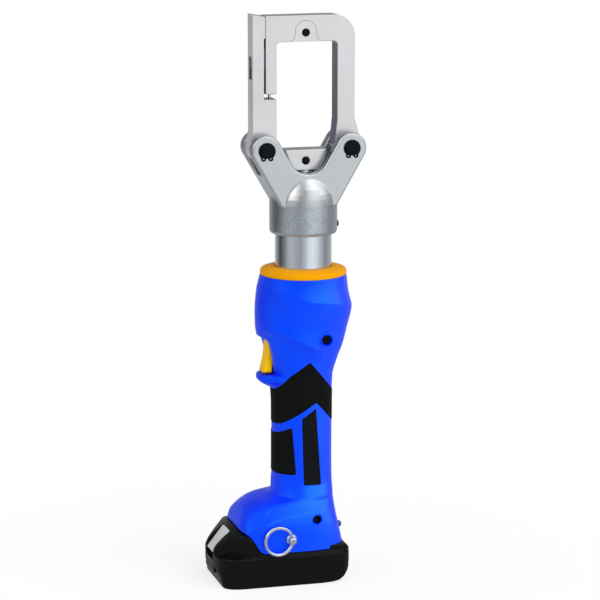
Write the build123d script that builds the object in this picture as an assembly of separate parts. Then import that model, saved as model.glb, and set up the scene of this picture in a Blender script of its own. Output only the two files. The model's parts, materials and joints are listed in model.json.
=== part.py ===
from build123d import *
import os
from math import acos, asin, cos, degrees, pi, radians, sin, tan

# Battery hydraulic crimping tool: a latched yoke head on a turning neck,
# an in-line pump handle and a slide-on pack.
# Millimetres. Z runs up the tool's axis from the surface it stands on,
# -X is the trigger side and -Y the tool's left side.

# Clearances
RUN = 0.06          # radial play of a shaft in its bush or eye
SLIDE = 0.3         # play between bodies that slide or swing past each other
SEAT = 0.2          # play of a fixed piece in its seat

# Lengths up the axis, from the surface to the top of the yoke
PACK_SIDE = 27.0    # height of the pack's side wall
DECK_RISE = 5.0     # pack's deck above its side wall
RAIL_RISE = 10.0    # pack's rail block above its deck
FLOOR = 3.5         # floor of the foot above the rail block
FOOT_RISE = 38.0    # from that floor's top to the start of the grip
GRIP_LENGTH = 92.0
BULB_LENGTH = 88.0  # swollen upper housing
NECK_LENGTH = 35.0  # bare cylinder between housing and fork
COLLAR_LENGTH = 26.0
PIN_RISE = 73.0     # hinge pins above the fork's lower edge
NOTCH_RISE = 52.0   # bottom of the notch between the fork's arms
JAW_HEIGHT = 89.0   # hinge pins to the underside of the crossbar
CROSSBAR = 22.0
STROKE = 40.0       # travel of the ram

# Housing, measured from the axis
WALL = 3.0
GRIP_FRONT, GRIP_BACK, GRIP_HALF = 28.7, 24.6, 23.3
FOOT_HALF = 36.3
FOOT_BACK = 33.5
NOSE_FRONT, NOSE_HALF = 62.5, 18.0
GRIP_SKIN, GRIP_PROUD = 1.4, 0.4
PLATE_SKIN = 0.8
RING_WIDTH, RING_HEIGHT = 12.7, 7.0
BULB_SWELL = (5.1, 3.5, 0.3)      # bulb beyond the collar ring: front, back, sides
TRIGGER_HALF = 8.2
TRIGGER_ANGLE = 7.0

# Head
NECK_R = 24.0
BORE_R = 16.5
ROD_R = 8.0
GUIDE_WALL, WIPER = 2.6, 3.0   # wall of the rod's bush, height of its wiper
COLLAR_WALL = 4.7
CHEEK = 12.0        # thickness of each cheek of the fork
JAW_THICKNESS = 17.0
PIN_SPREAD = 73.6
PIN_R = 6.0
EAR_R, EYE_R = 13.0, 11.8
ARM_SLOPE = 63.0
JAW_LEFT, JAW_RIGHT = -25.3, 27.3
POST_WIDTH = 15.0   # right post of the yoke
LEG_WIDTH = 9.3     # left leg of the yoke
LATCH_WIDTH = 20.3
SEAT_HALF = 13.9    # half width of the upper die seat
RAM_HALF = 19.3
BUTTON_R = 3.4
BUTTON_TRAVEL = 1.5

# Drive
PUMP_R, PUMP_LENGTH = 19.4, 52.7
GEAR_CASE = 18.0
MOTOR_R, MOTOR_LENGTH = 18.5, 60.0
MODULE, SUN_TEETH, PLANET_TEETH = 0.7, 12, 18
PLANETS = 3
ECCENTRIC = 1.5

# Pack
PACK_FRONT, PACK_BACK, PACK_HALF = 84.0, 33.5, 37.5
PACK_WALL = 2.4
PACK_PEAK = 52.0
CELL_R, CELL_LENGTH, CELLS = 9.15, 65.0, 5
RELEASE_HALF, RELEASE_THICK, RELEASE_TRAVEL = 12.0, 3.0, 2.5

# Hanging ring
RING_WIRE_R, RING_MEAN_R = 1.2, 11.8
STUD_X, STUD_Z, STUD_R, STUD_DEPTH = -20.4, 41.0, 3.2, 7.0

# Levels that follow
DECK_Z = PACK_SIDE + DECK_RISE
RAIL_Z = DECK_Z + RAIL_RISE
FLOOR_Z = RAIL_Z + SLIDE + FLOOR
GRIP_Z0 = FLOOR_Z + FOOT_RISE
GRIP_Z1 = GRIP_Z0 + GRIP_LENGTH
BULB_Z1 = GRIP_Z1 + BULB_LENGTH
COLLAR_Z = BULB_Z1 + NECK_LENGTH
PIN_Z = COLLAR_Z + PIN_RISE
NOTCH_Z = COLLAR_Z + NOTCH_RISE
JAW_Z = PIN_Z + JAW_HEIGHT
TOP_Z = JAW_Z + CROSSBAR
SLOT_Z = NOTCH_Z - 1.5
RAM_TOP_Z = PIN_Z - 1.4
RAM_LOW_Z = NOTCH_Z + 2.0
YOKE_X, LATCH_X = PIN_SPREAD / 2, -PIN_SPREAD / 2
JAW_HALF = JAW_THICKNESS / 2
FORK_HALF = JAW_HALF + CHEEK
COLLAR_R = NECK_R + COLLAR_WALL
RING_R = NECK_R + RING_WIDTH
BULB_FRONT, BULB_BACK, BULB_HALF = (RING_R + swell for swell in BULB_SWELL)
SLOT_HALF = JAW_HALF + SLIDE
LEG_X = JAW_LEFT - LEG_WIDTH
LATCH_OUT_X = JAW_LEFT - LATCH_WIDTH
SHELF_Z = PIN_Z + 0.467 * JAW_HEIGHT
LEG_LOW_Z = SHELF_Z + 4.2
BUSH_Z1 = BULB_Z1 - 8.0
FLANGE_Z1 = BULB_Z1 - 27.0
FLANGE_HEIGHT = 6.0
FLANGE_R = NECK_R + 4.0
BUSH_R = NECK_R + 5.5
PUMP_Z1 = FLANGE_Z1 - FLANGE_HEIGHT - SLIDE
PUMP_Z0 = PUMP_Z1 - PUMP_LENGTH
GEAR_Z0 = PUMP_Z0 - GEAR_CASE
MOTOR_Z0 = GEAR_Z0 - MOTOR_LENGTH
BORE_Z0 = FLANGE_Z1 + 6.0
TUBE_Z1 = COLLAR_Z + 17.0
BORE_Z1 = COLLAR_Z + 33.0
PISTON_Z = BORE_Z0 + SLIDE
PISTON_LENGTH = 18.0
GUARD_Z = GRIP_Z1 + 6.0
CROWN_R, CROWN_Z = PUMP_R + 4.1, PUMP_Z1 - 18.0


def block(x0, x1, y0, y1, z0, z1):
    """Box between two corners."""
    middle = Pos((x0 + x1) / 2, (y0 + y1) / 2, (z0 + z1) / 2)
    return middle * Box(x1 - x0, y1 - y0, z1 - z0)


def rod(radius, z0, z1, x=0.0, y=0.0):
    """Cylinder along Z."""
    return Pos(x, y, (z0 + z1) / 2) * Cylinder(radius, z1 - z0)


def rod_y(radius, y0, y1, x, z):
    """Cylinder along Y."""
    return Pos(x, (y0 + y1) / 2, z) * Rot(90, 0, 0) * Cylinder(radius, y1 - y0)


def rod_x(radius, x0, x1, y, z):
    """Cylinder along X."""
    return Pos((x0 + x1) / 2, y, z) * Rot(0, 90, 0) * Cylinder(radius, x1 - x0)


def tube(outer, inner, z0, z1):
    """Sleeve about the tool's axis."""
    return rod(outer, z0, z1) - rod(inner, z0, z1)


def plate(outline, y0, y1):
    """Solid between two Y planes of an outline drawn in X and Z."""
    return Pos(0, y1, 0) * extrude(Plane.XZ * outline, amount=y1 - y0, dir=(0, -1, 0))


def upright(outline, z0, z1):
    """Solid between two Z planes of an outline drawn in X and Y."""
    return Pos(0, 0, z0) * extrude(Plane.XY * outline, amount=z1 - z0, dir=(0, 0, 1))


def along(outline, x0, x1):
    """Solid between two X planes of an outline drawn in Y and Z."""
    return Pos(x0, 0, 0) * extrude(Plane.YZ * outline, amount=x1 - x0, dir=(1, 0, 0))


def outline(*points):
    """Closed polygon."""
    return Polygon(*points, align=None)


def belt(x0, z0, r0, x1, z1, r1):
    """Outline of a belt round two circles, the first one the lower."""
    gap = ((x1 - x0) ** 2 + (z1 - z0) ** 2) ** 0.5
    ux, uz = (x1 - x0) / gap, (z1 - z0) / gap
    lean = (r0 - r1) / gap
    rise = (1 - lean ** 2) ** 0.5
    near = (lean * ux + rise * uz, lean * uz - rise * ux)
    far = (lean * ux - rise * uz, lean * uz + rise * ux)
    low = [(x0 + r0 * x, z0 + r0 * z) for x, z in (near, (-ux, -uz), far)]
    high = [(x1 + r1 * x, z1 + r1 * z) for x, z in (near, (ux, uz), far)]
    edges = [ThreePointArc(*low), Line(low[2], high[2]), ThreePointArc(*high), Line(high[0], low[0])]
    return make_face(edges)


def turned(*points):
    """Solid of revolution of a profile given as radius and height."""
    return revolve(Plane.XZ * outline(*points), axis=Axis.Z)


def coil(mean, wire, z0, z1, turns):
    """Helical spring about Z."""
    height = z1 - z0 - 2 * wire
    path = Helix(pitch=height / turns, height=height, radius=mean)
    section = Plane(origin=path @ 0, z_dir=path % 0) * Circle(wire)
    return Pos(0, 0, z0 + wire) * sweep(section, path=path, is_frenet=True)


def oval(front, back, half, square=0.58):
    """Closed section from four quarter curves, rounder or squarer than an ellipse."""
    centre = (back - front) / 2
    quarters = []
    for end, side in ((back, 1), (-front, 1), (-front, -1), (back, -1)):
        reach = centre + square * (end - centre)
        bend = (end, side * square * half)
        quarters.append(Bezier((end, 0), bend, (reach, side * half), (centre, side * half)))
    return make_face(quarters)


# Housing

# Height above the grip and swelling of front, back and side, as shares of the bulb
BULB_SHAPE = (
    (0.00, 0.10, 0.04, 0.05),
    (0.16, 0.38, 0.28, 0.19),
    (0.31, 0.74, 0.60, 0.42),
    (0.455, 0.94, 0.81, 0.67),
    (0.64, 1.00, 1.00, 0.89),
    (0.84, 0.89, 0.92, 1.00),
)


def handle_form(inset):
    """Grip and bulb, or the same form shrunk by inset."""
    rows = [(FLOOR_Z + FOOT_RISE / 3, GRIP_FRONT + 2.3, GRIP_BACK + 1.9, GRIP_HALF + 2.7)]
    rows += [(GRIP_Z0, GRIP_FRONT + 0.5, GRIP_BACK + 0.2, GRIP_HALF + 0.5)]
    rows += [(GRIP_Z0 + share * GRIP_LENGTH, GRIP_FRONT, GRIP_BACK, GRIP_HALF) for share in (0.28, 0.77)]
    for rise, front, back, half in BULB_SHAPE:
        rows.append((
            GRIP_Z1 + rise * BULB_LENGTH,
            GRIP_FRONT + front * (BULB_FRONT - GRIP_FRONT),
            GRIP_BACK + back * (BULB_BACK - GRIP_BACK),
            GRIP_HALF + half * (BULB_HALF - GRIP_HALF),
        ))
    rows.append((BULB_Z1, RING_R, RING_R, RING_R))
    return loft([Pos(0, 0, z) * oval(f - inset, b - inset, h - inset) for z, f, b, h in rows])


# What is left of nose, back and side beyond the grip, from below the floor up in even steps
FOOT_SHAPE = (
    (1.00, 1.00, 0.99),
    (1.00, 0.85, 0.99),
    (1.00, 0.73, 1.00),
    (1.00, 0.56, 1.00),
    (1.00, 0.41, 0.97),
    (0.99, 0.26, 0.86),
    (0.94, 0.12, 0.66),
    (0.74, 0.05, 0.40),
    (0.17, 0.03, 0.21),
    (0.00, 0.00, 0.05),
    (-0.05, -0.06, -0.08),
)


def foot_underside(grow):
    """What the foot's lower edge leaves free: the S-shaped front and the line above the pack's side."""
    nose, low = -NOSE_FRONT, PACK_SIDE + 0.8
    free = outline(
        (nose - 30, low + 20.2), (nose, low + 20.2), (nose + 5.5, low + 17.5), (nose + 9.5, low + 12.6),
        (nose + 12, low + 6.6), (nose + 15, low + 1.8), (nose + 20, low), (FOOT_BACK + 10, low + 4.8),
        (FOOT_BACK + 10, 0), (nose - 30, 0),
    )
    if grow:
        free = offset(free, grow, kind=Kind.INTERSECTION)
    return plate(free, -2 * FOOT_HALF, 2 * FOOT_HALF)


def foot_form(inset):
    """Foot that spreads from the grip to the pack, or the same form shrunk by inset."""
    sections = []
    for step, (nose, back, side) in enumerate(FOOT_SHAPE):
        section = oval(
            GRIP_FRONT + nose * (NOSE_FRONT - GRIP_FRONT) - inset,
            GRIP_BACK + back * (FOOT_BACK - GRIP_BACK) - inset,
            GRIP_HALF + side * (FOOT_HALF - GRIP_HALF) - inset,
            0.58 + 0.22 * side,
        )
        sections.append(Pos(0, 0, FLOOR_Z + (step - 3) * FOOT_RISE / 6) * section)
    return loft(sections) - foot_underside(inset)


def trigger_recess(grow):
    """Finger room between the bulb's lip and the guard."""
    low, far = GUARD_Z, -2 * BULB_FRONT
    front = -BULB_FRONT
    room = outline(
        (far, low + 30.5), (front + 2, low + 30.5), (front + 5.3, low + 27), (front + 7.2, low + 23),
        (front + 10.3, low + 15), (front + 12, low + 7), (front + 12.8, low), (far, low - 1.5),
    )
    if grow:
        room = offset(room, grow, kind=Kind.INTERSECTION)
    return plate(room, -2 * BULB_HALF, 2 * BULB_HALF)


def guard():
    """Lip under the trigger."""
    tip = -BULB_FRONT + 0.6
    lip = outline(
        (-GRIP_FRONT + 6, GUARD_Z), (tip + 1.6, GUARD_Z - 1.4), (tip, GUARD_Z - 3.6),
        (tip + 1.7, GUARD_Z - 10), (tip + 8, GUARD_Z - 15.5), (-GRIP_FRONT + 6, GUARD_Z - 24),
    )
    plan = upright(oval(-tip, GRIP_BACK - 6, GRIP_HALF - 3), GRIP_Z0, BULB_Z1)
    return plate(lip, -GRIP_HALF, GRIP_HALF) & plan


def band_outline():
    """Chevron of the grip band, in X and Z."""
    front, back, z = -GRIP_FRONT - 9, GRIP_BACK + 9, GRIP_Z1
    return outline(
        (front, z - 18), (-1, z + 16), (back, z - 24.5), (back, z - 51), (5.3, z - 20.5), (-22.7, z - 38.5),
        (front, z - 44),
    )


def panel_outline():
    """Palm panel on the front of the grip, in X and Z."""
    front, z = -GRIP_FRONT - 9, GRIP_Z1
    return outline(
        (front, z - 50), (-GRIP_FRONT + 2, z - 47.5), (-16.8, z - 42), (-14.2, z - 80.4), (front, z - 81),
    )


def label_outline():
    """Label plate on the side of the grip, in X and Z."""
    z = GRIP_Z1
    return outline((5.2, z - 25), (-7, z - 34), (-5.2, z - 89.8), (9.7, z - 90.5))


SIDES = {"left": -1, "right": 1}


def half_space(side):
    """Everything on one side of the parting plane."""
    y0, y1 = sorted((0, side * 200.0))
    return block(-200, 200, y0, y1, -10, 600)


def skin_piece(shape, skin, proud):
    """Piece that lies in a pocket of the housing's surface: its solid and the pocket."""
    prism = plate(shape, -2 * BULB_HALF, 2 * BULB_HALF)
    under = handle_form(skin)
    return (handle_form(-proud) & prism) - under, prism - under


SCREW_UP = (12.5, GRIP_Z1 + 35)
SCREW_LOW = (3.2, FLOOR_Z + 10)
SCREW_HEAD_R, SCREW_R = 3.6, 1.8
UP_SEAT_Y = 24.0    # where the upper screws' heads bear
LOW_SEAT_Y = 29.0
PIVOT = (-BULB_FRONT + 13.8, GUARD_Z + 23.5)
PIVOT_R = 2.2
LENS_Z, LENS_R = STUD_Z, 3.0


def ribs(room):
    """Rings inside the housing that hold the bush, the pump, the motor and the board."""
    rings = [(BUSH_Z1 - 6, 4, BUSH_R), (BUSH_Z1 - 16, 4, BUSH_R), (PUMP_Z0 + 18, 3, PUMP_R)]
    rings += [(MOTOR_Z0 + 8, 3, MOTOR_R), (MOTOR_Z0 + 48, 3, MOTOR_R), (GRIP_Z0 + 2, 3, MOTOR_R - 6)]
    solids = []
    for z, height, radius in rings:
        slab = block(-100, 100, -100, 100, z, z + height)
        solids.append((room & slab) - rod(radius + SEAT, z - 1, z + height + 1))
    return solids


def bosses(room):
    """Trunnion sockets of the trigger and seats of the screws."""
    solids = []
    for side in SIDES.values():
        near, far = sorted((side * (TRIGGER_HALF + SLIDE), side * 2 * BULB_HALF))
        solids.append(room & rod_y(PIVOT_R + 2.4, near, far, *PIVOT))
        near, far = sorted((side * (PUMP_R - 2.0), side * 2 * BULB_HALF))
        seat = room & rod_y(SCREW_HEAD_R + 2, near, far, *SCREW_UP)
        solids.append(seat - rod(CROWN_R + SEAT, 0, BULB_Z1))
        near, far = sorted((0, side * 2 * FOOT_HALF))
        solids.append(room & rod_y(SCREW_HEAD_R + 2, near, far, *SCREW_LOW))
    return solids


def screw_cuts():
    """Recesses and clearance holes of the housing screws."""
    through = 2 * FOOT_HALF
    well_r, shank_r = SCREW_HEAD_R + 1.1, SCREW_R + SEAT
    cuts = rod_y(well_r, -through, -UP_SEAT_Y, *SCREW_UP) + rod_y(well_r, UP_SEAT_Y, through, *SCREW_UP)
    cuts += rod_y(shank_r, -UP_SEAT_Y, UP_SEAT_Y, *SCREW_UP)
    cuts += rod_y(SCREW_HEAD_R + SEAT, -through, -LOW_SEAT_Y, *SCREW_LOW)
    return cuts + rod_y(shank_r, -LOW_SEAT_Y, LOW_SEAT_Y - 4, *SCREW_LOW)


RAIL_NECK, RAIL_HEAD = 21.0, 25.5     # half widths of the pack's rail block
RAIL_BACK = 24.0
BLOCK_X0, BLOCK_X1, BLOCK_HALF = -8.0, 20.0, 17.0


def pack_channel():
    """Room that the pack slides into."""
    front, back = -2 * NOSE_FRONT, FOOT_BACK - WALL
    deck = block(front, back, -FOOT_HALF + WALL, FOOT_HALF - WALL, 0, DECK_Z + SLIDE)
    neck = block(front, RAIL_BACK + SLIDE, -RAIL_NECK - SLIDE, RAIL_NECK + SLIDE, 0, RAIL_Z + SLIDE)
    head_z = DECK_Z + RAIL_RISE / 2 - SLIDE
    head = block(front, RAIL_BACK + SLIDE, -RAIL_HEAD - SLIDE, RAIL_HEAD + SLIDE, head_z, RAIL_Z + SLIDE)
    return deck + neck + head


def housing():
    """Both shells, each with its ribs, bosses, pockets and holes."""
    outer = handle_form(0) + foot_form(0) - trigger_recess(0) + guard()
    room = handle_form(WALL) + (foot_form(WALL) & block(-100, 100, -100, 100, FLOOR_Z, 2 * BULB_Z1))
    room = room - trigger_recess(WALL) - block(-100, 100, -100, 100, 0, FLOOR_Z)
    shell = outer - room
    for piece in ribs(room) + bosses(room):
        shell = shell + piece
    slot_half = TRIGGER_HALF + SLIDE
    cuts = [
        pack_channel(),
        screw_cuts(),
        rod(RING_R - WALL - SEAT, BUSH_Z1, BULB_Z1 + 1),
        block(-2 * BULB_FRONT, -PUMP_R + 5, -slot_half, slot_half, GUARD_Z, GUARD_Z + 28),
        rod_y(PIVOT_R + RUN, -TRIGGER_HALF - 4, TRIGGER_HALF + 4, *PIVOT),
        rod_y(STUD_R, -2 * FOOT_HALF, -FOOT_HALF + STUD_DEPTH, STUD_X, STUD_Z),
        rod_x(LENS_R + SEAT, FOOT_BACK - 2 * WALL, 2 * FOOT_BACK, 0, LENS_Z),
        block(BLOCK_X0 - SEAT, BLOCK_X1 + SEAT, -BLOCK_HALF - SEAT, BLOCK_HALF + SEAT, RAIL_Z, FLOOR_Z + 1),
    ]
    for _, pocket in SKINS.values():
        cuts.append(pocket)
    for cut in cuts:
        shell = shell - cut
    return {f"housing_{name}": shell & half_space(side) for name, side in SIDES.items()}


def skins():
    """Grip bands, palm panels and label plates with their pockets."""
    return {
        "grip_band": skin_piece(band_outline(), GRIP_SKIN, GRIP_PROUD),
        "palm_panel": skin_piece(panel_outline(), GRIP_SKIN, GRIP_PROUD),
        "label_plate": skin_piece(label_outline(), PLATE_SKIN, 0),
    }


def skin_nodes():
    """One node on each side of the parting plane."""
    return {
        f"{kind}_{name}": solid & half_space(side)
        for kind, (solid, _) in SKINS.items()
        for name, side in SIDES.items()
    }


def collar_ring():
    """Ring that closes the housing round the neck."""
    z, bore, spigot = BULB_Z1, NECK_R + SLIDE, RING_R - WALL - 2 * SEAT
    return turned(
        (bore, z - 4), (spigot, z - 4), (spigot, z), (RING_R, z), (RING_R, z + 2.6), (RING_R - 2, z + 4.6),
        (bore + 2.5, z + RING_HEIGHT), (bore, z + RING_HEIGHT),
    )


def screw(y_head, direction, length, x, z):
    """Socket screw along Y, its head on the outer side."""
    head = sorted((y_head, y_head + direction * 3))
    shank = sorted((y_head, y_head - direction * length))
    socket = sorted((y_head + direction * 1.2, y_head + direction * 4))
    hexagon = plate(Pos(x, z) * RegularPolygon(SCREW_HEAD_R * 0.55, 6), *socket)
    return rod_y(SCREW_HEAD_R, *head, x, z) + rod_y(SCREW_R, *shank, x, z) - hexagon


def housing_screws():
    """Two short screws into the pump and a long one through the foot."""
    up = [screw(side * UP_SEAT_Y, side, UP_SEAT_Y - PUMP_R + 8, *SCREW_UP) for side in SIDES.values()]
    return Compound([*up, screw(-LOW_SEAT_Y, -1, 2 * LOW_SEAT_Y - 6, *SCREW_LOW)])


def trigger():
    """Rocking trigger with moulded trunnions."""
    x, z = -BULB_FRONT, GUARD_Z
    side = outline(
        (x + 8, z + 26), (x + 7.6, z + 17), (x + 6.8, z + 10), (x + 5.2, z + 3.6), (x + 4.0, z + 1.7),
        (x + 12, z + 1.4), (x + 12.8, z + 5), (x + 16.6, z + 20), (x + 17, z + 26.5), (x + 11, z + 27.3),
    )
    lever = plate(side, -TRIGGER_HALF, TRIGGER_HALF)
    front = lever.edges().filter_by(GeomType.LINE)
    front = front.filter_by(lambda e: abs(e.center().Y) > TRIGGER_HALF - 0.01 and e.center().X < x + 8)
    lever = fillet(front, 1.6)
    return lever + rod_y(PIVOT_R, -TRIGGER_HALF - 3.6, TRIGGER_HALF + 3.6, *PIVOT)


SWITCH_X0, SWITCH_X1 = -BULB_FRONT + 18.2, -PUMP_R - SLIDE


def trigger_switch():
    """Switch between the trigger and the pump."""
    half = TRIGGER_HALF + SLIDE / 2
    case = block(SWITCH_X0, SWITCH_X1, -half, half, GUARD_Z + 1, GUARD_Z + 16)
    return case - rod_x(2.8, SWITCH_X0 - 1, SWITCH_X0 + 1.0, 0, GUARD_Z + 6)


def trigger_spring():
    """Spring that pushes the trigger out."""
    length = SWITCH_X0 + 1.0 - (-BULB_FRONT + 13.4)
    spring = coil(2.0, 0.35, 0, length, 4)
    return Pos(-BULB_FRONT + 13.4, 0, GUARD_Z + 6) * Rot(0, 90, 0) * spring


def status_light():
    """Lens in the back of the foot."""
    dome = Pos(FOOT_BACK - 2.2, 0, LENS_Z) * Sphere(LENS_R)
    return rod_x(LENS_R, FOOT_BACK - 2 * WALL, FOOT_BACK - 2.2, 0, LENS_Z) + dome


def ring_stud():
    """Stud with an upright hole for the hanging ring."""
    head_y = -FOOT_HALF - 7.5
    stud = rod_y(STUD_R, head_y, -FOOT_HALF + STUD_DEPTH, STUD_X, STUD_Z)
    return stud - rod(RING_WIRE_R + 0.75, STUD_Z - 9, STUD_Z + 9, STUD_X, head_y + STUD_R)


def hang_ring():
    """Round wire ring."""
    centre = Pos(STUD_X - RING_MEAN_R, -FOOT_HALF - 7.5 + STUD_R, STUD_Z)
    return centre * Rot(90, 0, 0) * Torus(RING_MEAN_R, RING_WIRE_R)


# Head

def fork_outline():
    """Two arms that meet in a round notch."""
    slope = radians(ARM_SLOPE)
    inward = (-sin(slope), cos(slope))
    inner = (YOKE_X + EAR_R * inward[0], PIN_Z + EAR_R * inward[1])
    outer = (YOKE_X - EAR_R * inward[0], PIN_Z - EAR_R * inward[1])
    crown = (YOKE_X + EAR_R * cos(slope), PIN_Z + EAR_R * sin(slope))
    low = COLLAR_Z + COLLAR_LENGTH / 2
    foot = (outer[0] - (outer[1] - low) / tan(slope), low)
    vertex = inner[1] - inner[0] * tan(slope)
    notch_r = (NOTCH_Z - vertex) / (1 / cos(slope) - 1)
    meet = (notch_r * sin(slope), NOTCH_Z + notch_r * (1 - cos(slope)))
    edges = [Line((-foot[0], low), foot)]
    for side in (1, -1):
        a, b, c, d, e = ((side * x, z) for x, z in (foot, outer, crown, inner, meet))
        edges += [Line(a, b), ThreePointArc(b, c, d), Line(d, e)]
    edges.append(ThreePointArc(meet, (0, NOTCH_Z), (-meet[0], meet[1])))
    return make_face(edges)


def fork():
    """Forged fork: collar, shoulder, two cheeks with hinge eyes."""
    cheeks = plate(fork_outline(), -FORK_HALF, FORK_HALF)
    sides = cheeks.faces().sort_by(Axis.Y)
    cheeks = fillet(sides[0].edges() + sides[-1].edges(), 1.0)
    z = COLLAR_Z
    shoulder = turned(
        (0, z), (COLLAR_R - 3, z), (COLLAR_R - 0.9, z + 0.9), (COLLAR_R, z + 3),
        (COLLAR_R, z + COLLAR_LENGTH + 2), (COLLAR_R - 1.5, z + COLLAR_LENGTH + 8),
        (FORK_HALF + 3.5, z + COLLAR_LENGTH + 15),
        (FORK_HALF - 1.5, z + COLLAR_LENGTH + 20), (0, z + COLLAR_LENGTH + 20),
    )
    body = cheeks + shoulder - block(-100, 100, -SLOT_HALF, SLOT_HALF, SLOT_Z, TOP_Z)
    body = body - rod(NECK_R + RUN, z - 1, TUBE_Z1) - rod(BORE_R, TUBE_Z1 - 1, BORE_Z1)
    body = body - rod(ROD_R + GUIDE_WALL, BORE_Z1 - 1, SLOT_Z + 1)
    for x in (YOKE_X, LATCH_X):
        body = body - rod_y(PIN_R + RUN, -100, 100, x, PIN_Z)
    return body - rod_x(2.6, NECK_R - 2, 100, 0, SET_SCREW_Z)


SET_SCREW_Z = COLLAR_Z + 6.5


def fork_set_screw():
    """Screw that locks the fork on the cylinder."""
    body = rod_x(2.5, NECK_R - 2.4, COLLAR_R + 2.0, 0, SET_SCREW_Z)
    key = along(Pos(0, SET_SCREW_Z) * RegularPolygon(1.4, 6), COLLAR_R, COLLAR_R + 5)
    return body - key


def cylinder():
    """Hydraulic cylinder whose lower end turns in the handle."""
    body = rod(NECK_R, FLANGE_Z1 - 1, TUBE_Z1 - SEAT) + rod(FLANGE_R, FLANGE_Z1 - FLANGE_HEIGHT, FLANGE_Z1)
    body = body - rod(BORE_R, BORE_Z0, TUBE_Z1 + 1) - rod(2.0, FLANGE_Z1 - 10, TUBE_Z1)
    body = body - rod(SPIGOT_R + 0.1, FLANGE_Z1 - 10, FLANGE_Z1 + 1.8)
    return body - rod_x(2.6, NECK_R - 2.6, 100, 0, SET_SCREW_Z)


SPIGOT_R = 6.9


def hinge_pin(x):
    """Pin with a groove for a circlip at each end."""
    reach = FORK_HALF + 2.7
    pin = rod_y(PIN_R, -reach, reach, x, PIN_Z)
    pin = chamfer(pin.edges(), 0.6)
    for y in (-FORK_HALF - CLIP - 0.1, FORK_HALF + 0.1):
        pin = pin - (rod_y(PIN_R + 1, y, y + CLIP, x, PIN_Z) - rod_y(CLIP_R, y, y + CLIP, x, PIN_Z))
    return pin


CLIP, CLIP_R = 1.2, 5.4


def circlips():
    """Four open rings with lugs."""
    ring = Circle(PIN_R + 1.3) - Circle(CLIP_R) - outline((-2.2, 0), (2.2, 0), (3.2, -20), (-3.2, -20))
    for side in (-1, 1):
        lug = Pos(side * 3.4, -PIN_R - 1.5)
        ring = ring + lug * Circle(2.0) - lug * Circle(0.7)
    clips = []
    for x in (YOKE_X, LATCH_X):
        for y in (-FORK_HALF - CLIP - 0.1, FORK_HALF + 0.1):
            clips.append(plate(Pos(x, PIN_Z) * ring, y, y + CLIP))
    return Compound(clips)


def yoke_outline():
    """Inverted U: hinge post, crossbar and latch leg."""
    out = JAW_RIGHT + POST_WIDTH
    bar = outline((LEG_X, JAW_Z), (out, JAW_Z), (out, TOP_Z), (LEG_X, TOP_Z))
    corner = bar.vertices().sort_by(lambda v: v.X + v.Y)[-1]
    bar = fillet(corner, CROSSBAR * 0.8)
    post = outline((JAW_RIGHT, PIN_Z), (out, PIN_Z), (out, JAW_Z + 1), (JAW_RIGHT, JAW_Z + 1))
    leg = outline((LEG_X, LEG_LOW_Z), (JAW_LEFT, LEG_LOW_Z), (JAW_LEFT, JAW_Z + 1), (LEG_X, JAW_Z + 1))
    flare = belt(YOKE_X, PIN_Z, EYE_R, out - POST_WIDTH / 2, PIN_Z + 24, POST_WIDTH / 2 - 0.05)
    shape = bar + post + leg + flare
    inner = shape.vertices().filter_by(lambda v: abs(v.Y - JAW_Z) < 0.01)
    inner = inner.filter_by(lambda v: JAW_LEFT - 0.1 < v.X < JAW_RIGHT + 0.1)
    return fillet(inner, 3.2)


def seat_outline(grow=0.0):
    """Bell of the upper die seat."""
    top_r, low = 9.0 + grow, JAW_Z
    centre = TOP_Z - 4.6 - 9.0
    half = SEAT_HALF + grow
    edges = [
        Line((-half, low), (half, low)),
        Spline((half, low), (top_r, centre), tangents=((-1, 0.25), (0, 1))),
        RadiusArc((top_r, centre), (-top_r, centre), -top_r),
        Spline((-top_r, centre), (-half, low), tangents=((0, -1), (-1, -0.25))),
    ]
    return make_face(edges)


TONGUE_Z, TONGUE_REACH, TONGUE_HALF = JAW_Z - 5.0, 6.4, 4.0
TONGUE_SLOPE = 36.0
TONGUE_LENGTH = 16.0


def yoke():
    """Swinging jaw with its hook tongue."""
    body = plate(yoke_outline() - seat_outline(), -JAW_HALF, JAW_HALF)
    tip_x, drop = LEG_X - TONGUE_REACH, TONGUE_REACH * tan(radians(TONGUE_SLOPE))
    tongue = outline(
        (LEG_X + 2, TONGUE_Z + 1.45), (tip_x, TONGUE_Z - drop), (tip_x, TONGUE_Z - TONGUE_LENGTH),
        (LEG_X + 2, TONGUE_Z - TONGUE_LENGTH - 2),
    )
    body = body + plate(tongue, -TONGUE_HALF, TONGUE_HALF)
    return body - rod_y(PIN_R + RUN, -100, 100, YOKE_X, PIN_Z)


BUTTON_DEPTH, BUTTON_LENGTH = 11.0, 6.0
UPPER_BUTTON_Z, LOWER_BUTTON_Z = JAW_Z + 7.6, RAM_TOP_Z - 9.4


def button_bore(z, face):
    """Blind bore of a die button, from the left face."""
    return rod_y(BUTTON_R + RUN, -face - 1, -face + BUTTON_DEPTH, 0, z)


def die_button(z, face):
    """Lock button, domed at the end that is pressed."""
    body = rod_y(BUTTON_R, -face, -face + BUTTON_LENGTH, 0, z)
    return fillet(body.edges().sort_by(Axis.Y)[0], 0.7)


def button_spring(z, face):
    """Spring behind a die button."""
    spring = coil(2.2, 0.35, 0, BUTTON_DEPTH - BUTTON_LENGTH, 4)
    return Pos(0, -face + BUTTON_LENGTH, z) * Rot(-90, 0, 0) * spring


def upper_die_seat():
    """Bell-shaped seat let into the crossbar."""
    return plate(seat_outline(), -JAW_HALF, JAW_HALF) - button_bore(UPPER_BUTTON_Z, JAW_HALF)


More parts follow.
